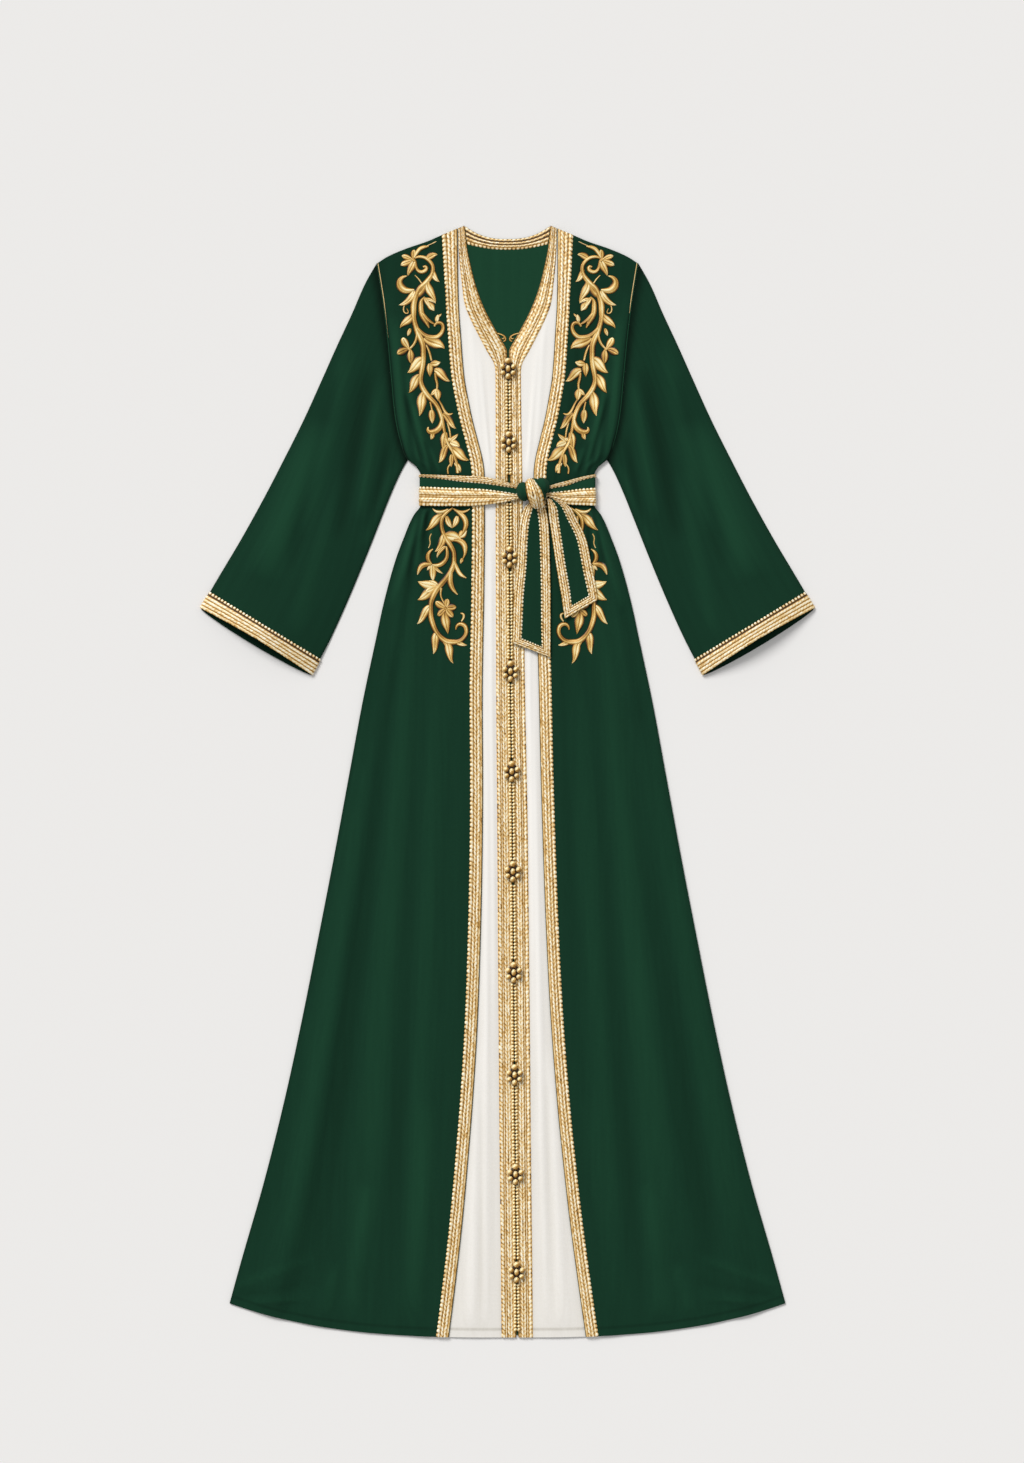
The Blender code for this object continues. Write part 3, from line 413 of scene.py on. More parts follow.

# Rows of a braid from its first edge to its second. High is the relief and tone the brightness of a
# thread, set higher on the higher rows as painted light, dip how deep the gaps between its stitches are
# and how much painted shade lies in them, shift its slant in sixths of a stitch, and spread how far its
# picots reach.
OUTER_BRAID = table(
    BRAID_COLUMNS,
    (0.00, 0.2, 0.3, 0.0, 0, 0), (0.05, 0.8, 0.56, 0.1, 0, 0), (0.12, 0.7, 0.66, 0.15, 2, 0),
    (0.18, 0.4, 0.3, 0.3, 4, 0), (0.24, 1.1, 0.86, 0.5, 5, 0), (0.31, 1.35, 1.08, 0.6, 4, 0),
    (0.38, 1.0, 0.84, 0.6, 2, 0), (0.44, 0.4, 0.3, 0.3, 0, 0), (0.50, 0.9, 0.62, 0.4, 1, 0),
    (0.57, 1.35, 1.06, 0.6, 2, 0), (0.64, 1.1, 0.84, 0.6, 4, 0), (0.71, 0.3, 0.18, 0.25, 0, 0),
    (0.78, 0.9, 0.7, 0.4, 5, 0), (0.85, 1.35, 0.98, 0.5, 0, 0), (0.93, 1.3, 0.82, 0.7, 0, 0.4),
    (1.00, 0.4, 0.62, 0.9, 0, 1.2),
)
INNER_BRAID = table(
    BRAID_COLUMNS,
    (0.00, 0.2, 0.2, 0.0, 0, 0), (0.06, 0.5, 0.3, 0.4, 0, 0), (0.12, 1.1, 0.86, 0.4, 1, 0),
    (0.18, 0.3, 0.42, 0.2, 0, 0), (0.25, 1.15, 0.86, 0.55, 5, 0), (0.32, 1.35, 1.06, 0.6, 3, 0),
    (0.39, 0.6, 0.42, 0.4, 1, 0), (0.46, 1.35, 1.06, 0.6, 3, 0), (0.53, 1.1, 0.84, 0.5, 5, 0),
    (0.59, 0.3, 0.18, 0.2, 0, 0), (0.65, 1.15, 1.0, 0.25, 1, 0), (0.71, 0.3, 0.24, 0.2, 0, 0),
    (0.78, 1.0, 0.84, 0.55, 4, 0), (0.86, 1.3, 1.08, 0.6, 5, 0), (0.93, 0.8, 0.6, 0.5, 0, 0),
    (1.00, 0.2, 0.45, 0.3, 0, 0.5),
)
NARROW_BRAID = table(
    BRAID_COLUMNS,
    (0.00, 0.2, 0.35, 0.2, 0, 0.2), (0.08, 0.9, 0.84, 0.35, 0, 0), (0.17, 1.15, 0.98, 0.5, 1, 0),
    (0.25, 0.3, 0.22, 0.2, 0, 0), (0.35, 1.1, 0.84, 0.55, 5, 0), (0.45, 1.35, 1.06, 0.6, 3, 0),
    (0.54, 0.6, 0.4, 0.4, 1, 0), (0.63, 1.35, 1.04, 0.6, 3, 0), (0.72, 1.0, 0.8, 0.5, 5, 0),
    (0.80, 0.3, 0.15, 0.2, 0, 0), (0.90, 1.2, 0.98, 0.8, 0, 0.4), (1.00, 0.4, 0.85, 1.1, 0, 1.0),
)
DOUBLE_BRAID = table(
    BRAID_COLUMNS,
    (0.00, 0.3, 0.85, 1.0, 0, 1.0), (0.06, 1.1, 1.04, 0.7, 0, 0.3), (0.12, 0.4, 0.26, 0.2, 0, 0),
    (0.19, 1.25, 0.98, 0.5, 5, 0), (0.27, 1.0, 0.78, 0.5, 3, 0), (0.34, 1.25, 0.98, 0.5, 1, 0),
    (0.41, 0.4, 0.2, 0.15, 0, 0), (0.48, 1.0, 0.84, 0.3, 0, 0), (0.54, 0.3, 0.14, 0.1, 0, 0),
    (0.60, 1.25, 0.98, 0.5, 1, 0), (0.67, 1.0, 0.76, 0.5, 3, 0), (0.75, 1.25, 0.98, 0.5, 5, 0),
    (0.82, 0.4, 0.24, 0.2, 0, 0), (0.91, 1.1, 0.98, 0.6, 0, 0.2), (1.00, 0.3, 0.7, 0.6, 0, 0.5),
)
NECK_BRAID = table(
    BRAID_COLUMNS,
    (0.00, 0.3, 0.6, 0.5, 0, 0.4), (0.07, 1.1, 0.88, 0.5, 0, 0.2), (0.15, 1.0, 0.7, 0.4, 2, 0),
    (0.22, 0.1, -0.1, 0.0, 0, 0), (0.29, 0.2, 0.04, 0.0, 0, 0), (0.36, 1.2, 0.9, 0.5, 5, 0),
    (0.45, 1.2, 0.76, 0.5, 2, 0), (0.52, 0.1, -0.1, 0.0, 0, 0), (0.58, 0.2, 0.04, 0.0, 0, 0),
    (0.65, 1.25, 0.92, 0.5, 1, 0), (0.73, 1.2, 0.78, 0.5, 4, 0), (0.81, 0.2, 0.12, 0.05, 0, 0),
    (0.90, 1.2, 0.92, 0.8, 0, 0.3), (1.00, 0.3, 0.7, 1.0, 0, 0.9),
)
CUFF_BRAID = table(
    BRAID_COLUMNS,
    (0.00, 0.3, 0.4, 0.2, 0, 0.1), (0.06, 1.1, 0.9, 0.3, 1, 0), (0.13, 1.1, 0.84, 0.3, 4, 0),
    (0.19, 0.4, 0.12, 0.2, 2, 0), (0.26, 1.1, 0.98, 0.3, 0, 0), (0.33, 1.1, 0.9, 0.3, 5, 0),
    (0.39, 0.4, 0.14, 0.2, 3, 0), (0.46, 1.1, 1.02, 0.3, 1, 0), (0.53, 1.1, 0.88, 0.3, 4, 0),
    (0.59, 0.4, 0.12, 0.2, 0, 0), (0.66, 1.1, 0.96, 0.3, 3, 0), (0.73, 1.1, 0.9, 0.3, 2, 0),
    (0.79, 0.4, 0.2, 0.2, 0, 0), (0.85, 0.1, -0.3, 0.4, 0, 0), (0.92, 1.2, 1.05, 1.2, 0, 0.3),
    (1.00, 0.4, 0.9, 1.5, 0, 1.2),
)
# How deep in the gap beside it each sixth of a stitch lies, which also sets the painted shade it takes
STITCH_GAPS = np.array((1.0, 0.4, 0.05, 0.0, 0.05, 0.4))

# Embroidered sprays of a front. A stem runs through places, each with its out, down and width.
UPPER_STEMS = (
    ((125, 44, 3), (120, 42, 5), (112, 43, 5), (106, 47, 5.5), (101.5, 53, 6), (100.5, 60, 6.5),
     (102, 66, 7), (106, 72, 7.5), (111, 78, 8), (119, 85, 8.5), (123, 94, 9), (126, 103, 9),
     (127, 113, 9), (127, 123, 8.5), (125, 133, 8.5), (121, 145, 9), (116, 156, 9), (114, 165, 9),
     (114, 176, 8.5), (115, 189, 8), (117, 200, 8), (118, 208, 8), (116, 217, 8), (111, 226, 8),
     (105, 233, 8), (98, 240, 7.5), (93, 249, 7), (90, 257, 6.5), (88.5, 265, 6), (86.5, 275, 5.5),
     (84, 286, 5), (81, 295, 5), (76, 303, 5), (72, 313, 5), (69, 324, 5.5), (68, 334, 5)),
    ((126, 43, 4), (122, 36, 5.5), (118, 31, 6), (110, 28.5, 5), (106.5, 28, 2)),
    ((124, 50, 4), (123, 58, 5), (118, 63, 5.5), (112, 62, 6), (108.5, 58, 6), (111, 54, 5),
     (114, 56, 3)),
    ((126, 87, 4), (136, 88, 9), (144, 83, 12), (146, 76, 10), (142, 70, 6), (136, 68, 2)),
    ((112, 96, 2), (117, 103, 7), (117, 113, 8), (115, 122, 9), (110, 130, 8), (106, 138, 2)),
    ((115, 118, 4), (108, 127, 6), (101, 132, 4), (97, 134, 2)),
    ((122, 138, 4), (115, 146, 7), (108, 150, 7.5), (97, 151, 7), (89, 145, 6.5), (86.5, 137, 6),
     (90, 131, 6), (96, 131, 5), (99, 136, 3)),
    ((122, 141, 4), (123, 152, 4.5), (127, 161, 4), (132, 166, 3)),
    ((110, 161, 2), (106, 170, 4), (103, 182, 3)),
    ((139, 107, 1.6), (141, 113, 2.4), (138, 119, 2.4), (133, 118, 2), (136, 112, 1.6)),
    ((125, 67, 1.6), (120, 72, 2.2), (116, 78, 2)),
    ((98, 199, 4), (97, 208, 5), (95, 214, 4), (96, 222, 3)),
    ((105, 238, 3), (103, 246, 3), (102, 253, 3)),
    ((93, 236, 3), (89, 243, 3.5), (86, 250, 4), (80, 256, 5), (74.5, 253.5, 1.6)),
    ((89, 261, 5), (91, 271, 8), (97, 277, 9.5), (104, 279, 9), (109, 276, 5), (107.5, 272, 2.4)),
    ((82, 266, 2), (79, 276, 3), (77.5, 287, 3)),
    ((78, 322, 2.4), (82, 328, 3), (81, 335, 3)),
    ((129, 45, 5), (127, 46.5, 7), (125, 48, 5)), ((134.5, 165, 4), (133, 166.5, 6), (131.5, 168, 4)),
)
UPPER_LEAVES = table(
    LEAF_COLUMNS,
    (126, 46, 134.5, 68, 10, 15, -20), (109, 45, 94.5, 39.5, 9, 20, 25), (101, 58, 91.5, 76, 7, -35, -25),
    (112, 79, 133, 96, 12, 35, 20), (126, 88, 146.5, 107, 9, 35, 25), (107, 75, 97, 104, 10, -45, 30),
    (113, 97, 104, 112, 6, 10, 0), (113, 99, 97, 105, 5, 20, 20), (107, 104, 99, 115, 9, 0, 0),
    (128, 119, 145, 138.5, 10, 30, -35), (96, 130, 94, 120, 5.5, 0, 0), (94, 124, 89, 119, 3, 0, 0),
    (112, 151, 85, 166.5, 14, -20, 40), (131, 139, 135, 149, 5.5, 0, 0),
    (104, 187, 91, 184, 9, 0, -20), (105, 186, 105, 204, 9.5, 0, 0),
    (113, 180, 135.5, 198.5, 13, -35, 45), (119, 202, 133.5, 226, 11.5, -25, 30),
    (99, 195, 78, 210, 11, 35, -45), (96, 221, 104.5, 229, 6.5, 10, 10), (96, 221, 93.5, 237, 9.5, 0, 0),
    (113, 225, 119.5, 257, 12, -20, 25), (103, 249, 102, 267, 9.5, 0, 0), (88, 254, 70, 274, 9.5, 30, -40),
    (101, 279, 104.5, 288.5, 7, 10, 20), (84, 279, 87.5, 305, 10.5, -15, 10),
    (82, 297, 93.5, 320, 10, -20, 35), (78, 292, 67.5, 281, 6, 15, -20), (78, 292, 65, 299, 9, 0, 25),
    (78, 291, 80, 286, 6, 0, 0), (77, 300, 52.5, 316.5, 12.5, 20, -45), (76, 309, 77, 326, 7.5, 0, 0),
    (119, 84, 108, 79, 5, 0, 0), (124, 96, 131, 101, 4, 0, 0), (72, 320, 64, 333, 6, 10, 20),
)
LOWER_STEMS = (
    ((75, 381, 3.5), (84, 388, 5), (89.5, 395, 6), (90.5, 403, 6.5), (89, 412, 7), (84.5, 422, 7.5),
     (78, 432, 8), (73.5, 443, 7.5), (73.5, 453, 7.5), (76, 463, 8), (82, 473, 8.5), (89.5, 482, 9),
     (96.5, 490, 9), (102, 500, 8.5), (105.5, 512, 8), (105.5, 524, 8), (103, 536, 8),
     (98, 548, 8), (90.5, 557, 8.5), (81, 562, 9), (71, 562, 8), (61.5, 557, 7), (57, 548, 6.5),
     (59, 540, 6.5), (65.5, 537, 6), (71, 540.5, 4.5), (71.5, 545, 2.5)),
    ((74, 382, 3.5), (66, 388, 6.5), (59, 395, 8), (57, 403, 8), (60.5, 413, 6), (65, 420, 3)),
    ((81, 383, 4), (91, 387, 6), (98, 386, 4), (102, 382, 1.4)),
    ((72, 384, 4), (64, 387, 5.5), (57, 386, 4), (52, 382.5, 1.4)),
    ((74, 424, 6), (64, 426, 9), (58.5, 434, 8), (58.5, 442, 5), (62, 450, 2)),
    ((84, 433, 3), (82.5, 442, 6), (84, 450, 6.5), (90, 456.5, 7), (97, 459, 6), (103, 458, 4)),
    ((104, 457, 4), (109, 449, 8), (108, 442, 6), (102, 436.5, 1.6)),
    ((104, 457, 4), (113, 457, 9), (119, 461, 8), (123, 471, 1.6)),
    ((74, 451, 4), (70, 462, 6), (65, 471, 6), (57, 475.5, 1.6)),
    ((76, 461, 5), (79, 472, 8), (78.5, 483, 9), (74.5, 492, 6), (69, 498, 1.4)),
    ((91, 489, 4), (92, 498, 3), (87, 510, 2.4)),
    ((64, 534, 2), (60, 528, 4), (61, 523, 4), (65, 523, 2)),
    ((104, 416, 1.6), (107, 422, 2), (105, 428, 2), (108, 435, 1.4)),
    ((87, 514.5, 5), (85, 516.2, 7), (83, 518, 5)),
)
LOWER_LEAVES = table(
    LEAF_COLUMNS,
    (89, 391, 111.5, 411, 10.5, -30, 40), (83, 392, 76, 408, 7.5, -20, -10), (69, 392, 76, 408, 7.5, 20, 10),
    (87, 415, 99.5, 440, 10, 25, 25), (86, 418, 63, 425, 13, 10, 20), (66, 420, 56, 411, 10, 0, 0),
    (62, 449, 65, 456, 5, 0, 0), (85, 433, 96.5, 448, 5.5, -20, -20), (103, 458, 101.5, 480, 9.5, 10, -15),
    (101, 458, 88.5, 469.5, 4.5, -20, -10), (105, 459, 110, 465, 4, 0, 0),
    (98, 487, 122.5, 480, 11, 0, 20), (97, 488, 123, 505, 12.5, -15, 30), (98, 487, 113, 495, 10, 0, 0),
    (96, 485, 108, 479, 7, 0, 0),
    (86, 521, 82, 551, 12, -15, 10), (105, 513, 123.5, 537.5, 9.5, -25, 35),
    (96, 548, 102, 578, 10.5, -25, 30), (86, 560, 75, 590.5, 10, 30, -40), (74, 562, 56.5, 566, 6, 10, -20),
    (88, 560, 84, 569, 3.5, 0, 0),
)
# Round petals of the two upper flowers and of the lower one
UPPER_PETALS = table(
    LEAF_COLUMNS,
    (127, 46, 125.5, 32.5, 8.5, 10, 10), (127, 46, 143, 41, 8.5, 10, -20), (127, 46, 144, 54, 9.5, 15, -20),
    (133, 166, 141.5, 151, 10.5, 10, 10), (133, 166, 149, 174, 11, -10, -10),
    (132, 166, 130, 186, 11.5, 10, -10),
)
LOWER_PETALS = table(
    LEAF_COLUMNS,
    (85, 516, 98.5, 507, 11, 10, 10), (85, 516, 82.5, 503.5, 10, 0, 0), (85, 516, 70.5, 514.5, 10.5, 0, 0),
    (85, 516, 75, 528, 10.5, -10, 0), (85, 516, 96, 526.5, 10.5, 10, 0),
)
# How much a lower spray follows the placket's drift, and how far outwards it is set
LOWER_SPRAY_LEFT = (0.5, 0.0)
LOWER_SPRAY_RIGHT = (1.0, 8.0)
BACK_SCROLLS = (
    ((15, 145, 1.6), (8, 147, 2.6), (2.5, 151, 3), (2.5, 156, 2.8), (6, 156, 1.8)),
    ((5, 149, 1.4), (5, 153, 2.2), (8, 152, 1.6)),
)

# Rows across a satin-stitched leaf or stem: domed, pale each side of its vein and dark at its edges, as
# painted light on the dome, lighter on one side, and painted shade where it turns down
LEAF_ROWS = table(
    STITCH_COLUMNS,
    (0.0, 0.1, -0.1), (0.1, 0.6, 0.22), (0.22, 1.0, 0.8), (0.36, 1.15, 1.04), (0.49, 0.7, 0.4),
    (0.6, 1.2, 0.9), (0.76, 1.0, 0.62), (0.9, 0.6, 0.24), (1.0, 0.1, -0.1),
)
STEM_ROWS = table(
    STITCH_COLUMNS,
    (0.0, 0.1, -0.1), (0.12, 0.6, 0.16), (0.26, 1.1, 0.5), (0.4, 1.35, 0.9), (0.52, 1.35, 0.74),
    (0.64, 1.1, 0.42), (0.78, 1.0, 0.66), (0.9, 0.55, 0.2), (1.0, 0.1, -0.1),
)

# Colours, from the deepest shade of a cloth or thread to its brightest. The darkest stops mostly show
# painted shade, and the brightest painted light.
GREEN_DEPTH, GREEN_DARK, GREEN, GREEN_LIGHT = "#04110a", "#0d281b", "#133525", "#1b442f"
IVORY_DEPTH, IVORY_SHADE, IVORY, IVORY_LIGHT = "#aaa59b", "#dcd8d0", "#f0ede8", "#f8f7f4"
GOLD_GAP, GOLD_DEEP, GOLD_SHADE, GOLD_MID, GOLD_PALE, GOLD_GLINT = (
    "#33200a", "#8a601d", "#c59649", "#e3bd7b", "#f5e0ae", "#fff8e2"
)
THREAD_GAP, THREAD_DEEP, THREAD_MID, THREAD_PALE, THREAD_GLINT = (
    "#2a1804", "#865716", "#c7973f", "#edca7b", "#fff1c0"
)
BALL_GAP, BALL_DEEP, BALL_MID, BALL_PALE = "#1c0f03", "#8a5c1c", "#d3a044", "#fff0c0"
FLOOR = "#ecebea"


def curve(rows, column, at):
    """A column's value at places down the table's first column, along a smooth curve."""
    xs = np.array([row[0] for row in rows], float)
    ys = np.array([getattr(row, column) for row in rows], float)
    steps = np.diff(xs)
    slopes = np.diff(ys) / steps
    ends = np.concatenate([slopes[:1], (slopes[:-1] + slopes[1:]) / 2, slopes[-1:]])
    ends[1:-1][slopes[:-1] * slopes[1:] <= 0] = 0
    at = np.clip(at, xs[0], xs[-1])
    i = np.clip(np.searchsorted(xs, at, side="right") - 1, 0, len(steps) - 1)
    t = (at - xs[i]) / steps[i]
    bend = t * (1 - t) * ((1 - t) * (ends[i] - slopes[i]) - t * (ends[i + 1] - slopes[i])) * steps[i]
    return ys[i] + t * (ys[i + 1] - ys[i]) + bend


def rise(at, start, end):
    """0 at the start and 1 at the end, with soft ends, and level beyond them."""
    t = np.clip((at - start) / (end - start), 0, 1)
    return t * t * (3 - 2 * t)


def close_to(apart, reach):
    """1 where two things meet, fading to nothing at about twice this reach."""
    return np.exp(-((apart / reach) ** 2))


def lengths_along(line):
    """How far along a line each of its points is."""
    return np.concatenate([[0], np.cumsum(np.linalg.norm(np.diff(line, axis=0), axis=1))])


def resampled(line, lengths, at):
    """Points at these distances along a line, whose own points lie at the given lengths."""
    return np.stack([np.interp(at, lengths, axis) for axis in line.T], axis=-1)


def unit(vectors):
    """The same directions with a length of 1."""
    return vectors / np.linalg.norm(vectors, axis=-1, keepdims=True)


def full_circle(count):
    """Even angles round a circle."""
    return np.linspace(0, 2 * math.pi, count, endpoint=False)


def fall(out, down, neck_dip=0.0):
    """How far down a section really lies at one distance out: it climbs to shoulder and hem."""
    fade = np.maximum(0.0, 1 - down / UNDERARM_DOWN) ** SHOULDER_FADE_POWER
    neck = neck_dip * (1 - np.minimum(out / NECK_HALF, 1) ** BACK_NECK_POWER)
    top = np.where(out > NECK_HALF, curve(SHOULDER, "down", out), neck)
    t = rise(down, HEM_CURVE_FROM, LENGTH)
    return down + top * fade - HEM_RISE * np.minimum(1, out / HEM_HALF) ** HEM_POWER * t


def edge_at(rows, down):
    """Where an edge, drawn by its real distance down, crosses the section at this nominal one."""
    column = rows[0]._fields[1]
    out = curve(rows, column, down)
    for _ in range(EDGE_TURNS):
        out = curve(rows, column, fall(out, down))
    return out


def drift(down):
    """How far right of the middle line the placket lies."""
    return curve(MIDDLE_DRIFT, "right", down)


def raised(down):
    """How much the sash gathers the layers up."""
    return WAIST_LIFT * curve(SECTIONS, "lift", down)


def stacked(x, y, z):
    """Points from their three values, each repeated to fit the others."""
    return np.stack(np.broadcast_arrays(x, y, z), axis=-1)


def at_down(right, down, z):
    """Points in millimetres from real distances right and down."""
    return stacked(right, LENGTH / 2 - down, z)


def plan(right, down, z, neck_dip=0.0):
    """Points in millimetres from places on the nominal sections."""
    return at_down(right, fall(np.abs(right), down, neck_dip), z)


def creases(rows, side, points):
    """Height of the soft ridges of a crease table at points of one side of the garment.

    A ridge is highest along its middle and dies out at its two ends.
    """
    at = np.stack([np.abs(points[..., 0]), LENGTH / 2 - points[..., 1]], axis=-1)
    high = np.zeros(points.shape[:-1])
    for row in rows:
        if row.side in (0, side):
            start = np.array((row.out, row.down), float)
            run = np.array((row.to_out, row.to_down)) - start
            share = np.clip((at - start) @ run / (run @ run), 0, 1)
            apart = np.linalg.norm(at - start - share[..., None] * run, axis=-1)
            middle_share = 1 - (2 * share - 1) ** 4
            high += row.high * close_to(apart, row.wide) * middle_share
    return high


def linear(code):
    """A linear colour with alpha from an sRGB hex code."""
    parts = [int(code[i : i + 2], 16) / 255 for i in (1, 3, 5)]
    return [p / 12.92 if p <= 0.04045 else ((p + 0.055) / 1.055) ** 2.4 for p in parts] + [1.0]


def add_node(tree, kind, settings=None, inputs=None):
    """A shader node with its settings, its inputs set to values or linked to other nodes.

    A node among the inputs is linked by its first output.
    """
    made = tree.nodes.new(kind)
    for key, value in (settings or {}).items():
        if key == "stops":
            elements = made.color_ramp.elements
            while len(elements) < len(value):
                elements.new(0.5)
            for element, (place, code) in zip(elements, value):
                element.position = place
                element.color = linear(code)
        else:
            setattr(made, key, value)
    for key, value in (inputs or {}).items():
        if isinstance(value, bpy.types.Node):
            value = value.outputs[0]
        if isinstance(value, bpy.types.NodeSocket):
            tree.links.new(value, made.inputs[key])
        else:
            made.inputs[key].default_value = value
    return made


def wave_scale(spacing):
    """The Wave texture's scale for bands this far apart."""
    return math.pi / 10 / spacing


def new_material(name):
    """An empty material with its tree, and with the run and the tone that each mesh carries."""
    made = bpy.data.materials.new(name)
    made.use_nodes = True
    tree = made.node_tree
    run = add_node(tree, "ShaderNodeAttribute", {"attribute_name": "run"}).outputs["Vector"]
    tone = add_node(tree, "ShaderNodeAttribute", {"attribute_name": "tone"}).outputs["Fac"]
    return made, tree, run, tone


def colour_and_relief(tree, stops, level, height, strength, depth):
    """The Principled shader with its colour from a level and its relief, in millimetres, from a height."""
    shader = tree.nodes["Principled BSDF"]
    colour = add_node(tree, "ShaderNodeValToRGB", {"stops": stops}, {"Fac": level})
    bump = add_node(
        tree, "ShaderNodeBump", None, {"Strength": strength, "Distance": depth * MM, "Height": height}
    )
    tree.links.new(colour.outputs["Color"], shader.inputs["Base Color"])
    tree.links.new(bump.outputs["Normal"], shader.inputs["Normal"])
    return shader


def crepe(name, stops, thread, relief):
    """Crossed threads this far apart over the folds' tones of painted light and shade, with a little grain
    and streaks of warp.
    """
    made, tree, run, tone = new_material(name)
    # Streaks are about 8 mm wide and 125 mm long, and grain about 3 mm
    grain_share, streak_share = 0.1, 0.14
    stretched = add_node(tree, "ShaderNodeMapping", None, {"Vector": run, "Scale": (0.12, 0.008, 1.0)})
    streaks, grain = (
        add_node(tree, "ShaderNodeTexNoise", None, {"Vector": at, "Scale": scale, "Detail": 2.0})
        for at, scale in ((stretched, 1.0), (run, 0.35))
    )
    grained = add_node(
        tree, "ShaderNodeMath", {"operation": "MULTIPLY_ADD"}, {0: grain, 1: grain_share, 2: tone}
    )
    streaked = add_node(
        tree, "ShaderNodeMath", {"operation": "MULTIPLY_ADD"}, {0: streaks, 1: streak_share, 2: grained}
    )
    level = add_node(
        tree, "ShaderNodeMath", {"operation": "SUBTRACT"}, {0: streaked, 1: (grain_share + streak_share) / 2}
    )
    warp, weft = (
        add_node(
            tree, "ShaderNodeTexWave", {"bands_direction": direction},
            {"Vector": run, "Scale": wave_scale(apart), "Distortion": 0.6, "Detail": 1.0},
        ).outputs["Fac"]
        for direction, apart in (("X", thread), ("Y", thread * 1.2))
    )
    weave = add_node(tree, "ShaderNodeMath", {"operation": "ADD"}, {0: warp, 1: weft})
    shader = colour_and_relief(tree, stops, level, weave, 0.3, relief)
    shader.inputs["Specular IOR Level"].default_value = 0.06
    shader.inputs["Sheen Roughness"].default_value = 0.5
    return made, shader


def metal_thread(name, stops, strand, slant, glint):
    """Wrapped strands this far apart, slanting away from a row's middle, over the stitches' tones."""
    made, tree, run, tone = new_material(name)
    # Flecks are about 2.5 mm
    fleck_share = 0.3
    parts = add_node(tree, "ShaderNodeSeparateXYZ", None, {"Vector": run})
    away = add_node(tree, "ShaderNodeMath", {"operation": "ABSOLUTE"}, {0: parts.outputs["X"]})
    lean = add_node(
        tree, "ShaderNodeMath", {"operation": "MULTIPLY_ADD"}, {0: away, 1: slant, 2: parts.outputs["Y"]}
    )
    leaning = add_node(tree, "ShaderNodeCombineXYZ", None, {"Y": lean})
    strands = add_node(
        tree, "ShaderNodeTexWave", {"bands_direction": "Y"},
        {"Vector": leaning, "Scale": wave_scale(strand), "Distortion": 0.0},
    ).outputs["Fac"]
    fleck = add_node(tree, "ShaderNodeTexNoise", None, {"Vector": run, "Scale": 0.4, "Detail": 2.0})
    stranded = add_node(
        tree, "ShaderNodeMath", {"operation": "MULTIPLY_ADD"}, {0: strands, 1: glint, 2: tone}
    )
    flecked = add_node(
        tree, "ShaderNodeMath", {"operation": "MULTIPLY_ADD"}, {0: fleck, 1: fleck_share, 2: stranded}
    )
    level = add_node(
        tree, "ShaderNodeMath", {"operation": "SUBTRACT"}, {0: flecked, 1: (fleck_share + glint) / 2}
    )
    return made, colour_and_relief(tree, stops, level, strands, 0.5, 0.25)


def green_crepe():
    """Crepe, woven of hard-twisted yarn and dyed dark green.

    The twist breaks up its gloss, so the eye sees one deep, matt green that only its folds lighten.
    Its threads, really about 0.4 mm apart, are drawn 1.2 mm apart so that they show at all.
    """
    stops = ((0.0, GREEN_DEPTH), (0.3, GREEN_DARK), (0.55, GREEN), (0.85, GREEN_LIGHT))
    made, shader = crepe("green_crepe", stops, thread=1.2, relief=0.1)
    shader.inputs["Roughness"].default_value = 0.9
    shader.inputs["Sheen Weight"].default_value = 0.03
    return made


def ivory_crepe():
    """Crepe, woven as the green one is and dyed ivory.

    It is as matt, but pale, so the eye sees soft warm greys only beside the braids and in its folds.
    Its threads, too, are drawn about three times as coarse as they are.
    """
    stops = ((0.0, IVORY_DEPTH), (0.3, IVORY_SHADE), (0.55, IVORY), (0.85, IVORY_LIGHT))
    made, shader = crepe("ivory_crepe", stops, thread=1.4, relief=0.08)
    shader.inputs["Roughness"].default_value = 0.8
    shader.inputs["Sheen Weight"].default_value = 0.0
    return made


def gilt_braid():
    """Gilt braid: cord wrapped in fine gilt foil and plaited flat.

    The foil is too thin and broken to mirror, so the eye sees pale gold turns with brown gaps between, whose
    brown is partly painted shade.
    Its wraps, really about 0.2 mm apart, are drawn 1.1 mm apart so that they show.
    """
    stops = ((0.0, GOLD_GAP), (0.16, GOLD_DEEP), (0.36, GOLD_SHADE), (0.56, GOLD_MID),
             (0.76, GOLD_PALE), (0.96, GOLD_GLINT))
    made, shader = metal_thread("gilt_braid", stops, strand=1.1, slant=0.6, glint=0.12)
    shader.inputs["Metallic"].default_value = 0.2
    shader.inputs["Roughness"].default_value = 0.42
    return made


def gilt_satin_stitch():
    """Gilt embroidery thread, laid side by side over a padding as satin stitch.

    The laid threads gleam together, so the eye sees rich yellow leaves with a pale shine either side
    of a vein. The threads, really about 0.4 mm apart, are drawn 2.1 mm apart so that they show.
    """
    stops = ((0.0, THREAD_GAP), (0.2, THREAD_DEEP), (0.5, THREAD_MID), (0.78, THREAD_PALE),
             (1.0, THREAD_GLINT))
    made, shader = metal_thread("gilt_satin_stitch", stops, strand=2.1, slant=0.9, glint=0.22)
    shader.inputs["Metallic"].default_value = 0.12
    shader.inputs["Roughness"].default_value = 0.42
    return made


def gilt_knot_thread():
    """Gilt cord, knotted tight into ball buttons.

    The tight turns shine more and hide more shade than the braid's, so the eye sees bronze balls with
    a bright spot on each. The cord's wraps are drawn 1.2 mm apart, coarser than they are.
    """
    stops = ((0.0, BALL_GAP), (0.25, BALL_DEEP), (0.6, BALL_MID), (0.95, BALL_PALE))
    made, shader = metal_thread("gilt_knot_thread", stops, strand=1.2, slant=0.8, glint=0.12)
    shader.inputs["Metallic"].default_value = 0.2
    shader.inputs["Roughness"].default_value = 0.3
    return made


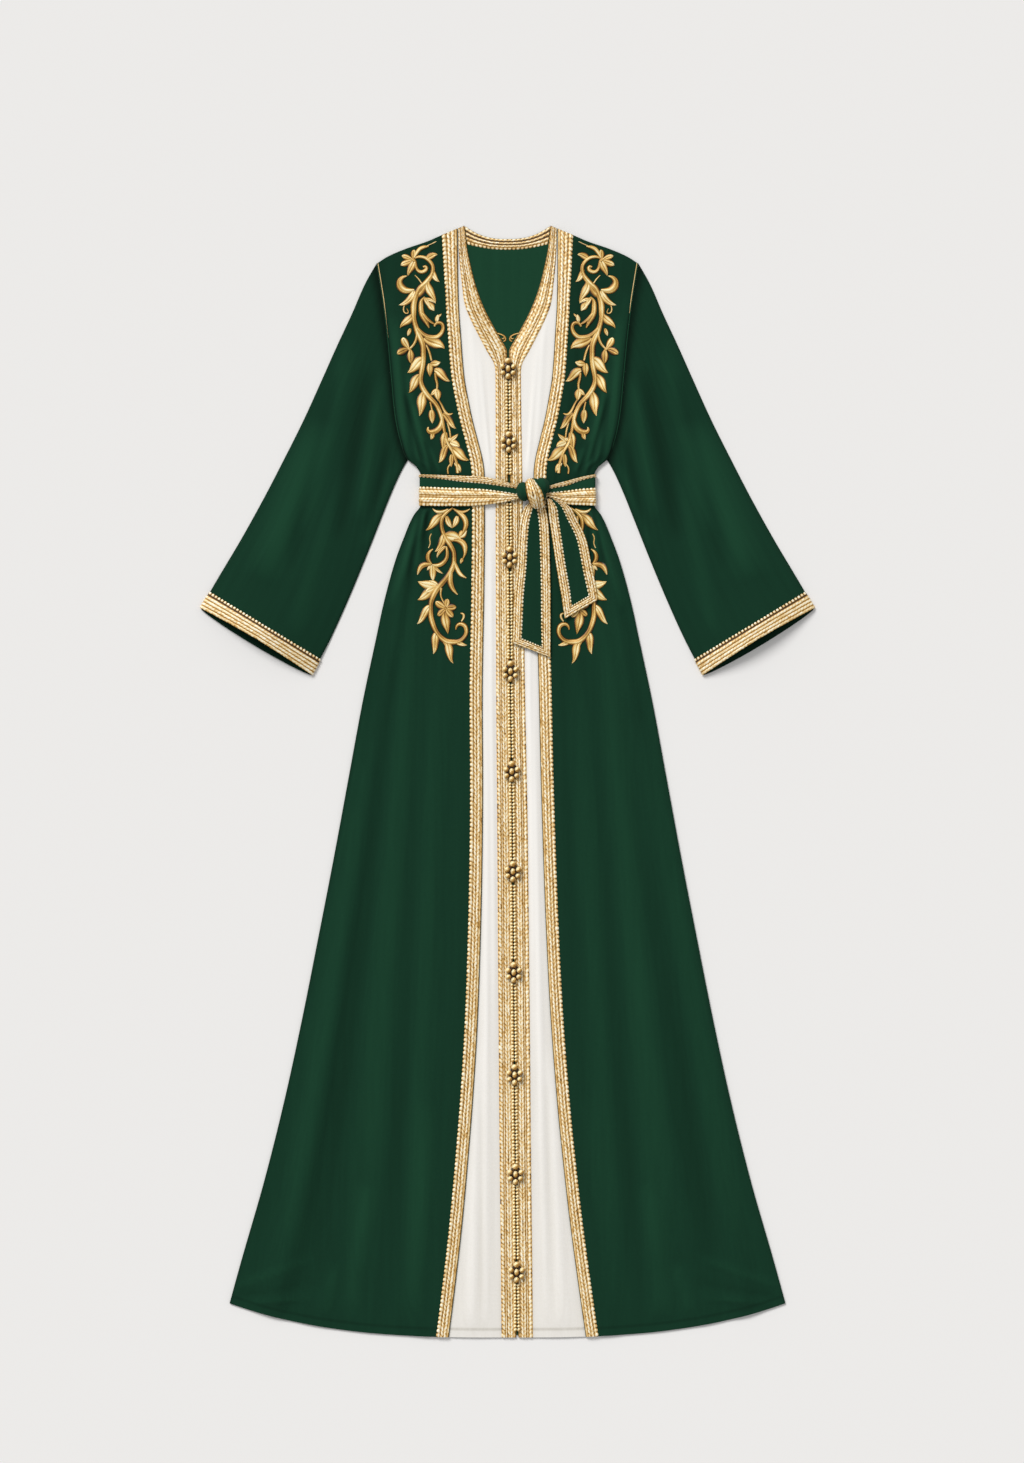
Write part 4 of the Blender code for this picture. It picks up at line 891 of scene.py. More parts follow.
def make_finishes():
    """The garment's cloths and threads."""
    return {
        "green": green_crepe(),
        "ivory": ivory_crepe(),
        "braid": gilt_braid(),
        "satin": gilt_satin_stitch(),
        "ball": gilt_knot_thread(),
    }


def solid(name, points, faces, finish, tone=0.7, run=None):
    """One smooth mesh object from points in millimetres, with its tone and its run on the cloth."""
    mesh = bpy.data.meshes.new(name)
    points = np.asarray(points, np.float64).reshape(-1, 3)
    corners = np.concatenate([np.asarray(face, np.int32).ravel() for face in faces])
    sizes = np.concatenate([np.full(len(face), np.asarray(face).shape[1]) for face in faces])
    mesh.vertices.add(len(points))
    mesh.vertices.foreach_set("co", (points * MM).ravel())
    mesh.loops.add(len(corners))
    mesh.loops.foreach_set("vertex_index", corners)
    mesh.polygons.add(len(sizes))
    mesh.polygons.foreach_set("loop_start", np.concatenate([[0], np.cumsum(sizes)[:-1]]))
    mesh.update(calc_edges=True)
    mesh.shade_smooth()
    mesh.set_sharp_from_angle(angle=SHARP_ANGLE)
    run = points if run is None else np.asarray(run, float).reshape(-1, 3)
    mesh.attributes.new("run", "FLOAT_VECTOR", "POINT").data.foreach_set("vector", run.ravel())
    tone = np.full(len(points), tone) if np.isscalar(tone) else np.asarray(tone, float).ravel()
    mesh.attributes.new("tone", "FLOAT", "POINT").data.foreach_set("value", tone)
    mesh.materials.append(finish)
    made = bpy.data.objects.new(name, mesh)
    bpy.context.scene.collection.objects.link(made)
    return made


def grid_faces(rows, columns, wrap=False):
    """Quads of a grid of points, closed round its columns if it wraps."""
    r = np.arange(rows - 1)[:, None] * columns
    c = np.arange(columns if wrap else columns - 1)[None, :]
    after = (c + 1) % columns
    return np.stack([r + c, r + columns + c, r + columns + after, r + after], axis=-1).reshape(-1, 4)


def outward(points, faces):
    """The faces, turned over if the closed mesh would be inside out."""
    flat = points.reshape(-1, 3)
    volume = sum(
        np.einsum("ij,ij->", flat[f[:, 0]], np.cross(flat[f[:, k]], flat[f[:, k + 1]]))
        for f in faces for k in range(1, f.shape[1] - 1)
    )
    return faces if volume > 0 else [f[:, ::-1] for f in faces]


def shell(top, wall):
    """Points and faces of a closed thin cloth under a grid of top points."""
    rows, columns = top.shape[:2]
    count = rows * columns
    upper = grid_faces(rows, columns)
    index = np.arange(count).reshape(rows, columns)
    rim = np.concatenate([index[0], index[1:, -1], index[-1, -2::-1], index[-2:0:-1, 0]])
    after = np.roll(rim, -1)
    sides = np.stack([rim, after, after + count, rim + count], axis=-1)
    points = np.concatenate([top.reshape(-1, 3), (top - (0, 0, wall)).reshape(-1, 3)])
    return points, outward(points, [upper, upper[:, ::-1] + count, sides])


def cloth_tube(outer, inner):
    """Points and faces of an open tube of cloth between two stacks of rings."""
    count, size = outer.shape[:2]
    skin = grid_faces(count, size, wrap=True)
    first = np.arange(size)
    after = np.roll(first, -1)
    rim = np.stack([first, after, after + count * size, first + count * size], axis=-1)
    points = np.concatenate([outer.reshape(-1, 3), inner.reshape(-1, 3)])
    faces = [skin, skin[:, ::-1] + count * size, rim, rim[:, ::-1] + (count - 1) * size]
    return points, outward(points, faces)


def tube_faces(rings, circle=False):
    """Faces of a stack of closed rings, joined in a circle or else with its two ends closed."""
    count, size = rings.shape[:2]
    if circle:
        return outward(rings, [grid_faces(count + 1, size, wrap=True) % (count * size)])
    ends = np.stack([np.arange(size), np.arange(size)[::-1] + (count - 1) * size])
    return outward(rings, [grid_faces(count, size, wrap=True), ends])


def bundle(parts):
    """Points and faces of many tubes as one piece. A part is its rings, and True for a circle."""
    points, faces, start = [], [], 0
    for rings, circle in parts:
        points.append(rings.reshape(-1, 3))
        faces += [face + start for face in tube_faces(rings, circle)]
        start += len(points[-1])
    return np.concatenate(points), faces


def wear(made, node):
    """A piece rides on the garment and stands for its CAD node."""
    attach(made, "root")
    if node:
        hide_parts(node)
    return made


def cloth_panel(name, top, wall, finish, tone=0.55):
    """A closed cloth panel under a grid of top points, with the tone of its folds, which holds their painted
    light and shade.
    """
    tone = np.broadcast_to(tone, top.shape[:2]).ravel()
    return solid(name, *shell(top, wall), finish, np.concatenate([tone, tone]))


def panel_downs():
    """Distances down of a panel's rows of points, as a column."""
    parts = [np.arange(start, end, apart) for start, end, apart in PANEL_ROWS]
    return np.concatenate([*parts, [LENGTH]])[:, None]


def hem_stitch(downs, depth):
    """A line of stitching a little above a hem, as a dip in tone."""
    return -depth * close_to(downs - (LENGTH - HEM_STITCH_UP), HEM_STITCH_WIDE)


def hem_laid(downs):
    """How much of a fold's height is left towards the hem, which lies down under its own weight."""
    return 1 - HEM_LAID_SHARE * close_to(LENGTH - downs, HEM_LAID_UP)


Halves = namedtuple("Halves", "slit inner front outer hidden")


def front_halves(downs):
    """How far from the placket's middle line lie a side's edges.

    They are the slit or neck, the inner braid's far edge, the green front's edge under the outer
    braid, that braid's far edge, and the ivory's own edge, hidden under the green.
    """
    slit = np.maximum(PLACKET_GAP_HALF, curve(NECK_V, "half", downs))
    front = edge_at(FRONT_EDGE, downs)
    inner = np.minimum(edge_at(INNER_BRAID_EDGE, downs), front - BRAIDS_APART)
    near_top = np.maximum(0, 1 - downs / OUTER_BRAID_TOP_REACH)
    wide = OUTER_BRAID_WIDTH + (OUTER_BRAID_TOP_WIDTH - OUTER_BRAID_WIDTH) * near_top
    return Halves(slit, inner, front, front + wide, front + INSET_UNDERLAP)


def front_panel(side, name, finish):
    """A green front from its braided edge to the armhole and side, with its folds and creases."""
    downs = panel_downs()
    halves = front_halves(downs)
    middle, lift, laid = drift(downs), raised(downs), hem_laid(downs)
    # Columns are a little closer towards the side seam, where the creases are finest
    even = np.linspace(0, 1, FRONT_COLUMNS)[None, :]
    across = 0.75 * even + 0.25 * np.sin(math.pi / 2 * even)
    flat = np.linspace(0, 1, FRONT_STRIP_COLUMNS, endpoint=False)[None, :]
    start = halves.front - FRONT_INSIDE_BRAID
    strip = middle + side * (start + flat * (halves.hidden - start))
    seam = side * edge_at(SIDE, downs)
    fold_from = middle + side * halves.hidden
    panel = fold_from + across * (seam - fold_from)

    def whole(beside_braid, on_panel):
        """A value of the flat strip under the braid, then the panel's own."""
        return np.concatenate([np.broadcast_to(beside_braid, strip.shape), on_panel], axis=1)

    low = FRONT_SIDE_TOP + laid * curve(FOLDS, "share", across) * curve(SECTIONS, "fold", downs)
    off_inset = (FRONT_OVER_INSET_TOP - FRONT_SIDE_TOP) * (1 - rise(across, 0, 0.13))
    top = plan(whole(strip, panel), downs, whole(FRONT_OVER_INSET_TOP, low + off_inset) + lift)
    # Creases die out beside the braid and at the side seam, and a puff runs down beside the armhole
    to_seam = np.abs(seam - panel)
    free = whole(0.0, rise(across, 0, 0.12) * rise(to_seam, 0, 8))
    fold = laid * free * creases(BODY_CREASES, side, top)
    armhole = rise(downs, 40, 100) * rise(downs, UNDERARM_DOWN + 10, UNDERARM_DOWN - 10)
    puff = whole(0.0, ARMHOLE_PUFF * armhole * rise(to_seam, 0, 2.5) * rise(to_seam, 28, 6))
    top[..., 2] = np.maximum(top[..., 2] + fold, FRONT_LEAST_TOP + lift) + puff
    # Its ridges take painted light, less below the waist, and its armhole puff some too; its bodice is
    # darker, and painted shade lies along its side seam, deepest by the armhole
    light = RIDGE_PAINTED_LIGHT - (RIDGE_PAINTED_LIGHT - SKIRT_RIDGE_PAINTED_LIGHT) * rise(downs, 420, 540)
    bodice = rise(downs, 420, 360)
    dark = whole(0.0, close_to(to_seam, SEAM_SHADE_REACH) * (SIDE_PAINTED_SHADE + ARMHOLE_PAINTED_SHADE * armhole))
    tone = GREEN_TONE - BODICE_DARKER * bodice + light * fold + PUFF_PAINTED_LIGHT * puff - dark
    tone = tone + hem_stitch(downs, GREEN_HEM_STITCH_DARK)
    made = cloth_panel(f"green_front_{name}", top, CLOTH, finish, tone)
    return wear(made, f"front_{name}"), top


def inset_panel(side, name, finish):
    """The ivory inset of one side, from the placket to where it runs on under the green front."""
    downs = panel_downs()
    halves = front_halves(downs)
    middle, lift, laid = drift(downs), raised(downs), hem_laid(downs)
    out = np.concatenate([
        first + np.linspace(0, 1, columns, endpoint=False)[None, :] * (second - first)
        for first, second, columns in (
            (halves.slit, halves.inner, INSET_UNDER_BRAID),
            (halves.inner, halves.front, INSET_SHOWING),
            (halves.front, halves.hidden, INSET_UNDER_FRONT),
        )
    ] + [halves.hidden], axis=1)
    showing = np.concatenate([
        np.zeros(INSET_UNDER_BRAID),
        np.linspace(0, 1, INSET_SHOWING, endpoint=False),
        np.ones(INSET_UNDER_FRONT + 1),
    ])[None, :]
    bow = np.sin(math.pi * showing)
    top = plan(
        middle + side * out, downs, INSET_TOP + lift + laid * bow**1.5 * curve(SECTIONS, "inset_fold", downs)
    )
    fold = laid * bow**0.5 * creases(INSET_CREASES, side, top - stacked(middle, 0.0, 0.0))
    top[..., 2] = np.maximum(top[..., 2] + fold, INSET_TOP + lift)
    # Its ridges take painted light and painted shade lies beside both braids; it is also darker towards the
    # hem
    shade_by_braids = close_to(out - halves.inner, 3.0) + 1.3 * close_to(halves.front - out, SEAM_SHADE_REACH)
    tone = IVORY_TONE + IVORY_RIDGE_PAINTED_LIGHT * fold - IVORY_EDGE_PAINTED_SHADE * shade_by_braids
    tone = tone - IVORY_HEM_DARKER * rise(downs, 500, 1400) + hem_stitch(downs, IVORY_HEM_STITCH_DARK)
    made = cloth_panel(f"ivory_inset_{name}", top, INSET_CLOTH, finish, tone)
    return wear(made, f"inset_{name}")


def back_panel(finish):
    """The green back, seen in the neck and from below."""
    downs = np.linspace(0, LENGTH - BACK_HEM_SHORTER, BACK_ROWS)[:, None]
    share = np.linspace(-1, 1, BACK_COLUMNS)[None, :]
    top = plan(share * edge_at(SIDE, downs), downs, BACK_TOP + raised(downs), BACK_NECK_DIP)
    made = cloth_panel("green_back", top, CLOTH - BACK_CLEAR, finish, BACK_TONE)
    return wear(made, "back"), top


def plait(first, second, circle, rows, crown, stitch_long, chance):
    """Rings, tones and run of one length of braid between two edges of matching points.

    Every section is a closed ring: the rows of threads over a flat foot. Six sections make a stitch,
    so that the gap beside it is crisp.
    """
    across, high, tone, dip, shift, reach = (np.array(column) for column in zip(*rows))
    threads = tone > THREAD_FROM
    lengths = lengths_along((first + second) / 2)
    parts = len(STITCH_GAPS)
    count = max(1, round(lengths[-1] / stitch_long)) * parts + 1
    at = np.linspace(0, lengths[-1], count)
    a, b = resampled(first, lengths, at), resampled(second, lengths, at)
    heading = np.gradient((a + b) / 2, axis=0)
    if circle:
        heading[0] = heading[-1] = heading[0] + heading[-1]
    normal = unit(np.cross(heading, b - a))
    if not circle and normal[:, 2].mean() < 0:
        normal = -normal
    width = np.linalg.norm(b - a, axis=1)[:, None]
    stitch = np.arange(count)[:, None] + shift[None, :].astype(int)
    gap = STITCH_GAPS[stitch % parts]
    fleck = chance.normal(0, 1, (count // parts + 3, len(rows)))
    fleck = np.take_along_axis(fleck, stitch // parts, axis=0)
    high = high - BRAID_DIP * dip * gap + crown * (1 - (2 * across - 1) ** 2)
    # Gaps between stitches take painted shade, and threads vary at random
    tone = tone - dip * gap + THREAD_FLECK * fleck * threads
    share = across + np.sign(across - 0.5) * reach * (0.5 - gap) / width
    top = a[:, None] + share[..., None] * (b - a)[:, None] + high[..., None] * normal[:, None]
    ring = np.concatenate([top, np.stack([b, a], axis=1)], axis=1)
    # The braid's sides down to its foot are painted dark, as shade
    tone = np.concatenate([tone, np.full((count, 2), BRAID_FOOT_SHADED_TONE)], axis=1)
    run = stacked(np.concatenate([across, [1, 0]])[None, :] * width, at[:, None], 0.0)
    kept = slice(0, count - 1) if circle else slice(0, count)
    return ring[kept], tone[kept].ravel(), run[kept].reshape(-1, 3)


def braid(name, runs, rows, finish, seed, crown=0.0, stitch_long=STITCH):
    """Plaited braid along one or more runs, each its first edge, its second and True for a circle.

    A crown bows the braid up between its edges.
    """
    chance = np.random.default_rng(seed)
    parts, tones, places = [], [], []
    for first, second, circle in runs:
        ring, tone, run = plait(first, second, circle, rows, crown, stitch_long, chance)
        parts.append((ring, circle))
        tones.append(tone)
        places.append(run)
    return solid(name, *bundle(parts), finish, np.concatenate(tones), np.concatenate(places))


def front_braids(side, name, finish):
    """The outer braid on the green edge and the inner braid on the ivory, of one side."""
    downs = np.linspace(0, LENGTH, EDGE_POINTS)
    halves = front_halves(downs)
    made = []
    for kind, foot, near, far, rows, seed in (
        ("outer", OUTER_BRAID_FOOT, halves.front, halves.outer, OUTER_BRAID, 3 + side),
        ("inner", INNER_BRAID_FOOT, halves.slit, halves.inner, INNER_BRAID, 7 + side),
    ):
        edges = [
            plan(drift(downs) + side * half, downs, foot + raised(downs) - BRAID_SUNK) for half in (near, far)
        ]
        piece = braid(f"gilt_{kind}_{name}", [(*edges, False)], rows, finish, seed)
        made.append(wear(piece, f"braid_{kind}_{name}"))
    return made


def neck_band(finish):
    """The double braid round the inside of the back neck, deeper at its corners."""
    share = np.linspace(-1, 1, 80)
    far_edge = NECK_BAND_WIDTH + NECK_BAND_CORNER * np.abs(share) ** NECK_BAND_CORNER_POWER
    edges = []
    for below in (NECK_BAND_BELOW, far_edge):
        right = share * (NECK_HALF - NECK_BAND_INSIDE - NECK_BAND_TAPER * below)
        edges.append(at_down(right, fall(np.abs(right), 0.0, BACK_NECK_DIP) + below, NECK_BAND_FOOT))
    made = braid("gilt_back_neck", [(*edges, False)], NECK_BRAID, finish, 11)
    return wear(made, "braid_back_neck")


def sleeve_lines(ways, across):
    """Plan places (out, down) of a sleeve: its ways run from 1 at the armhole to 0 at the cuff band.

    Ways below 0 are in the band, and end at the cuff with -1. Near the armhole the lines follow the
    curve of the front's side instead of the straight chord between its ends.
    """
    seam_down = np.linspace(0, UNDERARM_DOWN, 60)
    seam_down = fall(edge_at(SIDE, seam_down), seam_down)
    down = seam_down[0] + across * (seam_down[-1] - seam_down[0])
    seam = np.stack([curve(SIDE, "out", down) - SLEEVE_SEAM_TUCK, down], axis=-1)
    ends = []
    for rows in (OVERARM, UNDERARM):
        downs = np.linspace(rows[-1].down, rows[0].down, EDGE_POINTS)
        edge = np.stack([curve(rows, "out", downs), downs], axis=-1)
        lengths = lengths_along(edge)
        above_band = CUFF_BAND_WIDTH + ways * (lengths[-1] - CUFF_BAND_WIDTH)
        at = np.where(ways >= 0, above_band, CUFF_BAND_WIDTH * (1 + ways))
        ends.append(resampled(edge, lengths, at))
    share = across[None, :, None]
    lines = (1 - share) * ends[0][:, None] + share * ends[1][:, None]
    chord = (1 - across[:, None]) * seam[0] + across[:, None] * seam[-1]
    return lines + (seam - chord)[None] * (np.maximum(ways, 0) ** 3)[:, None, None]


def round_tube(front, back):
    """Columns of a tube's front, then of its back from the far side to the near one."""
    return np.concatenate([front, back[:, -2:0:-1]], axis=1)


def sleeve(side, name, finishes):
    """One sleeve as a tube of two layers, open and a little raised at its cuff, and its band."""
    ways = np.concatenate([np.linspace(1, 0, SLEEVE_ROWS), -np.arange(1, CUFF_ROWS + 1) / CUFF_ROWS])
    even = np.linspace(0, 1, SLEEVE_COLUMNS)
    across = 0.45 * even + 0.55 * (0.5 - 0.5 * np.cos(math.pi * even))
    lines = sleeve_lines(ways, across)
    arch = np.sin(math.pi * across)
    in_band = rise(ways, 0, -1)
    cuff = lines[-1, -1] - lines[-1, 0]
    past_cuff = unit(np.array([-cuff[1], cuff[0]]))
    past_cuff *= math.copysign(1.0, past_cuff @ (lines[-1, 0] - lines[-2, 0]))
    hang = in_band[:, None, None] * past_cuff
    back = lines + CUFF_BACK_BULGE * hang * (arch**0.5)[None, :, None]
    front = lines - CUFF_FRONT_HOLLOW * hang * arch[None, :, None]

    width = np.linalg.norm(lines[:, -1] - lines[:, 0], axis=1)[:, None]
    edge = np.minimum(across, 1 - across) * width
    rounding = np.sqrt(1 - (1 - np.clip(edge / SLEEVE_SIDE_ROUND, 0, 1)) ** 2)
    lift = CUFF_LIFT * curve(SLEEVE_SECTIONS, "lift", ways)[:, None]
    puff = SLEEVE_PUFF * curve(SLEEVE_SECTIONS, "puff", ways)
    puff = (puff + (CUFF_MOUTH - puff) * in_band)[:, None]
    near_cuff = rise(ways, 0.25, 0)[:, None]
    profile = (1 - near_cuff) * curve(SLEEVE_FOLDS, "share", across) + near_cuff * arch
    half_high = (SLEEVE_FLAT_HIGH + puff * profile) / 2
    from_ends = np.minimum(ways + 0.1, 1 - ways)[:, None]
    creased = np.sqrt(np.clip(edge / SLEEVE_CREASES_IN, 0, 1)) * rise(from_ends, 0, 0.2)

    def rings(wall):
        """Rings of the tube's outer face, or of its inner one this wall inside it."""
        faces = []
        for line, way_up in ((front, 1), (back, -1)):
            centre = line.mean(axis=1, keepdims=True)
            moved = centre + (line - centre) * (1 - 2 * wall / width)[..., None]
            z = lift + half_high + way_up * (half_high - wall) * rounding
            faces.append(at_down(side * moved[..., 0], moved[..., 1], z))
        upper, lower = faces
        upper[..., 2] += creased * creases(SLEEVE_CREASES, side, upper)
        upper[..., 2] = np.maximum(upper[..., 2], lower[..., 2] + (SLEEVE_LEAST_HIGH - 2 * wall) * rounding)
        return round_tube(upper, lower)

    outer, inner = rings(0.0), rings(SLEEVE_CLOTH)
    # Its creases take painted light, painted shade lies by the armhole seam and along its rounded sides, and
    # its inside is painted dark, as the shade in the cuff's mouth
    tone = SLEEVE_TONE + SLEEVE_RIDGE_PAINTED_LIGHT * creases(SLEEVE_CREASES, side, outer)
    tone = tone - SLEEVE_SEAM_PAINTED_SHADE * close_to(1 - ways, SLEEVE_SEAM_REACH)[:, None]
    tone = tone - SLEEVE_EDGE_PAINTED_SHADE * close_to(round_tube(edge, edge), SLEEVE_SIDE_ROUND)
    tone[:, SLEEVE_COLUMNS:] = SLEEVE_UNDER_TONE
    inside = np.full_like(tone, SLEEVE_INSIDE_SHADED_TONE)
    run = stacked(round_tube(across[None], across[None]) * width, -ways[:, None] * SLEEVE_RUN, 0.0)
    cloth = solid(f"green_sleeve_{name}", *cloth_tube(outer, inner), finishes["green"],
                  np.concatenate([tone, inside]), np.concatenate([run, run]))
    wear(cloth, f"sleeve_{name}")
    return cloth, cuff_band(side, name, outer, front[-1], finishes["braid"])


def cuff_band(side, name, outer, mouth_front, finish):
    """The gold band round a cuff, a little outside the cloth all round."""
    first_row = outer.shape[0] - CUFF_ROWS - 1
    mouth = outer[-1].copy()
    mouth[SLEEVE_COLUMNS:, 0] = side * mouth_front[-2:0:-1, 0]
    mouth[SLEEVE_COLUMNS:, 1] = LENGTH / 2 - mouth_front[-2:0:-1, 1]
    top = outer[first_row] + CUFF_BAND_OVER * (outer[first_row - 1] - outer[first_row])
    edges = []
    for ring in (mouth, top):
        ring = ring.copy()
        out = ring[:, :2] - ring.mean(axis=0)[:2]
        ring[:, :2] += CUFF_BAND_OUTSIDE * unit(out)
        ring[:SLEEVE_COLUMNS, 2] += CUFF_BAND_HIGHER
        ring[SLEEVE_COLUMNS:, 2] = CUFF_BAND_UNDERSIDE
        edges.append(np.concatenate([ring, ring[:1]])[::-side])
    made = braid(
        f"gilt_cuff_{name}", [(*edges, True)], CUFF_BRAID, finish, 13 + side, stitch_long=SASH_STITCH
    )
    return wear(made, f"cuff_band_{name}")


def sash(finish):
    """The sash's cloth round the waist, turned at its sides and gathered towards its knot."""
    right = np.linspace(-SASH_FLAT_HALF, SASH_FLAT_HALF, SASH_COLUMNS)
    top, bottom = curve(SASH_FRONT, "top", right), curve(SASH_FRONT, "bottom", right)
    gathered = SASH_GATHER_HIGH * close_to(right - SASH_GATHER_AT, SASH_GATHER_REACH)
    turn = np.radians(np.linspace(90, -90, 9)[1:-1])
    under = np.linspace(SASH_FLAT_HALF, -SASH_FLAT_HALF, SASH_BACK_COLUMNS)

    def ring(share, wall):
        """A line round the waist, this share of the way down: front, right side, back and left side."""
        high, low = SASH_TOP - wall, SASH_UNDERSIDE + wall
        out = SASH_FLAT_HALF + (SASH_HALF - SASH_FLAT_HALF - wall) * np.cos(turn)
        turned_z = (high + low) / 2 + (high - low) / 2 * np.sin(turn)
        down = SASH_TOP_DOWN + share * (SASH_BOTTOM_DOWN - SASH_TOP_DOWN)
        gather = gathered * math.sin(share * math.pi * SASH_GATHERS) * math.sin(math.pi * share)
        return np.concatenate([
            at_down(right, top + share * (bottom - top), high + gather),
            at_down(out, down, turned_z),
            at_down(under, down, low),
            at_down(-out[::-1], down, turned_z[::-1]),
        ])

    outer, inner = (
        np.array([ring(share, wall) for share in np.linspace(0, 1, SASH_ROWS)]) for wall in (0.0, CLOTH)
    )
    return wear(solid("green_sash", *cloth_tube(outer, inner), finish), "sash")


def sash_edging(finish):
    """The narrow braid on the sash's upper edge and the double one on its lower, turned at its sides."""
    right = np.linspace(-SASH_FLAT_HALF, SASH_FLAT_HALF, SASH_COLUMNS)
    turn = np.radians(np.linspace(75, -45, 9))
    out = SASH_FLAT_HALF + (SASH_HALF - SASH_FLAT_HALF + 0.1) * np.cos(turn)
    low = SASH_BRAID_FOOT - SASH_BRAID_TURN * (1 - np.sin(turn))
    all_right = np.concatenate([-out[::-1], right, out])
    foot = np.concatenate([low[::-1], np.full_like(right, SASH_BRAID_FOOT), low])
    made = []
    for name, first, second, rows in (
        ("upper", "top", "upper_braid", NARROW_BRAID), ("lower", "lower_braid", "bottom", DOUBLE_BRAID)
    ):
        edges = [at_down(all_right, curve(SASH_FRONT, column, all_right), foot) for column in (first, second)]
        piece = braid(f"gilt_sash_{name}", [(*edges, False)], rows, finish, 17, stitch_long=SASH_STITCH)
        made.append(wear(piece, f"sash_braid_{name}"))
    return made


def tail(name, rows, finishes):
    """A hanging end of the sash, with its braid."""
    at = np.linspace(0, 1, TAIL_ROWS)
    placed = table(
        "at " + TAIL_COLUMNS, *[(place, *row) for place, row in zip(np.linspace(0, 1, len(rows)), rows)]
    )
    left_out, left_down, right_out, right_down, z = (
        curve(placed, column, at) for column in TAIL_COLUMNS.split()
    )
    left, right = at_down(left_out, left_down, z), at_down(right_out, right_down, z)
    share = np.linspace(0, 1, TAIL_ACROSS)[None, :, None]
    top = left[:, None] * (1 - share) + right[:, None] * share
    top[..., 2] += TAIL_TOP + TAIL_SWELL * np.sin(math.pi * share[..., 0]) ** 2
    made = cloth_panel(f"green_tail_{name}", top, TAIL_CLOTH, finishes["green"])
    cloth = wear(made, f"sash_tail_{name}")
    return cloth, tail_braid(name, left, right, finishes["braid"])


def tail_braid(name, left, right, finish):
    """Braid down both sides of a tail and across its foot, mitred at the corners."""
    width = np.linalg.norm(right - left, axis=1)[:, None]
    inward = (right - left) * np.minimum(TAIL_BRAID_WIDTH / width, TAIL_BRAID_MOST_SHARE)
    lengths = lengths_along((left + right) / 2)
    corner = np.searchsorted(lengths, lengths[-1] - TAIL_BRAID_WIDTH)
    sides = [
        (np.append(outer[:corner], outer[-1:], axis=0), inner[: corner + 1])
        for outer, inner in ((left, left + inward), (right, right - inward))
    ]
    # The foot stops just short of the mitres, so that it and the sides share no points
    steps = np.linspace(0.002, 0.998, 20)[:, None]
    (left_outer, left_inner), (right_outer, right_inner) = sides
    foot = tuple(
        start[-1] + steps * (end[-1] - start[-1])
        for start, end in ((left_outer, right_outer), (left_inner, right_inner))
    )
    foot_up = (0, 0, TAIL_BRAID_FOOT)
    runs = [(outer + foot_up, inner + foot_up, False) for outer, inner in (sides[0], foot, sides[1])]
    made = braid(f"gilt_tail_{name}", runs, NARROW_BRAID, finish, 19, stitch_long=SASH_STITCH)
    return wear(made, f"sash_tail_braid_{name}")


def lobe(row):
    """Rings of a gathered lobe of cloth: an egg with pleats that run to its ends."""
    polar = np.linspace(LOBE_END, math.pi - LOBE_END, LOBE_RINGS)[:, None]
    angle = full_circle(LOBE_AROUND)[None, :]
    fold = 1 + row.depth * np.sin(row.pleats * angle) * np.sin(polar)
    x = row.wide * np.sin(polar) * np.cos(angle) * fold
    y = row.long * np.cos(polar) * np.ones_like(angle)
    z = row.high * np.sin(polar) * np.sin(angle) * fold
    cos, sin = math.cos(row.turn), math.sin(row.turn)
    points = stacked(x * cos - y * sin, x * sin + y * cos, z)
    points += (row.right, LENGTH / 2 - row.down, row.z)
    points[..., 2] = np.maximum(points[..., 2], KNOT_FOOT)
    return points


def knot(finishes):
    """The sash's knot: green lobes either side of one slanted turn of the braided strip."""
    made = solid("green_knot", *bundle([(lobe(row), False) for row in KNOT_LOBES]), finishes["green"])
    tied = wear(made, "sash_knot")
    t = np.linspace(0, 1, KNOT_WRAP_POINTS)
    inside_ends = KNOT_WRAP_END + (1 - 2 * KNOT_WRAP_END) * t
    over = KNOT_WRAP_FOOT + KNOT_WRAP_HIGH * np.sin(math.pi * inside_ends) ** KNOT_WRAP_ROUND
    edges = [
        at_down(
            row.right + (row.to_right - row.right) * t + row.bow * np.sin(math.pi * t),
            row.down + (row.to_down - row.down) * t, over,
        )
        for row in KNOT_WRAP_EDGES
    ]
    made = braid("gilt_knot_wrap", [(*edges, False)], INNER_BRAID, finishes["braid"], 23, KNOT_WRAP_CROWN,
                 SASH_STITCH)
    return [tied, wear(made, None)]


def height_on(panel, x, y):
    """Height of a panel's top under plan places, or of a bare front beside it."""
    heights = []
    for px, py in zip(np.ravel(x), np.ravel(y)):
        hit = panel.ray_cast(Vector((px, py, ABOVE_ALL)), Vector((0, 0, -1)))[0]
        heights.append(FRONT_SIDE_TOP if hit is None else hit.z)
    return np.array(heights).reshape(np.shape(x))


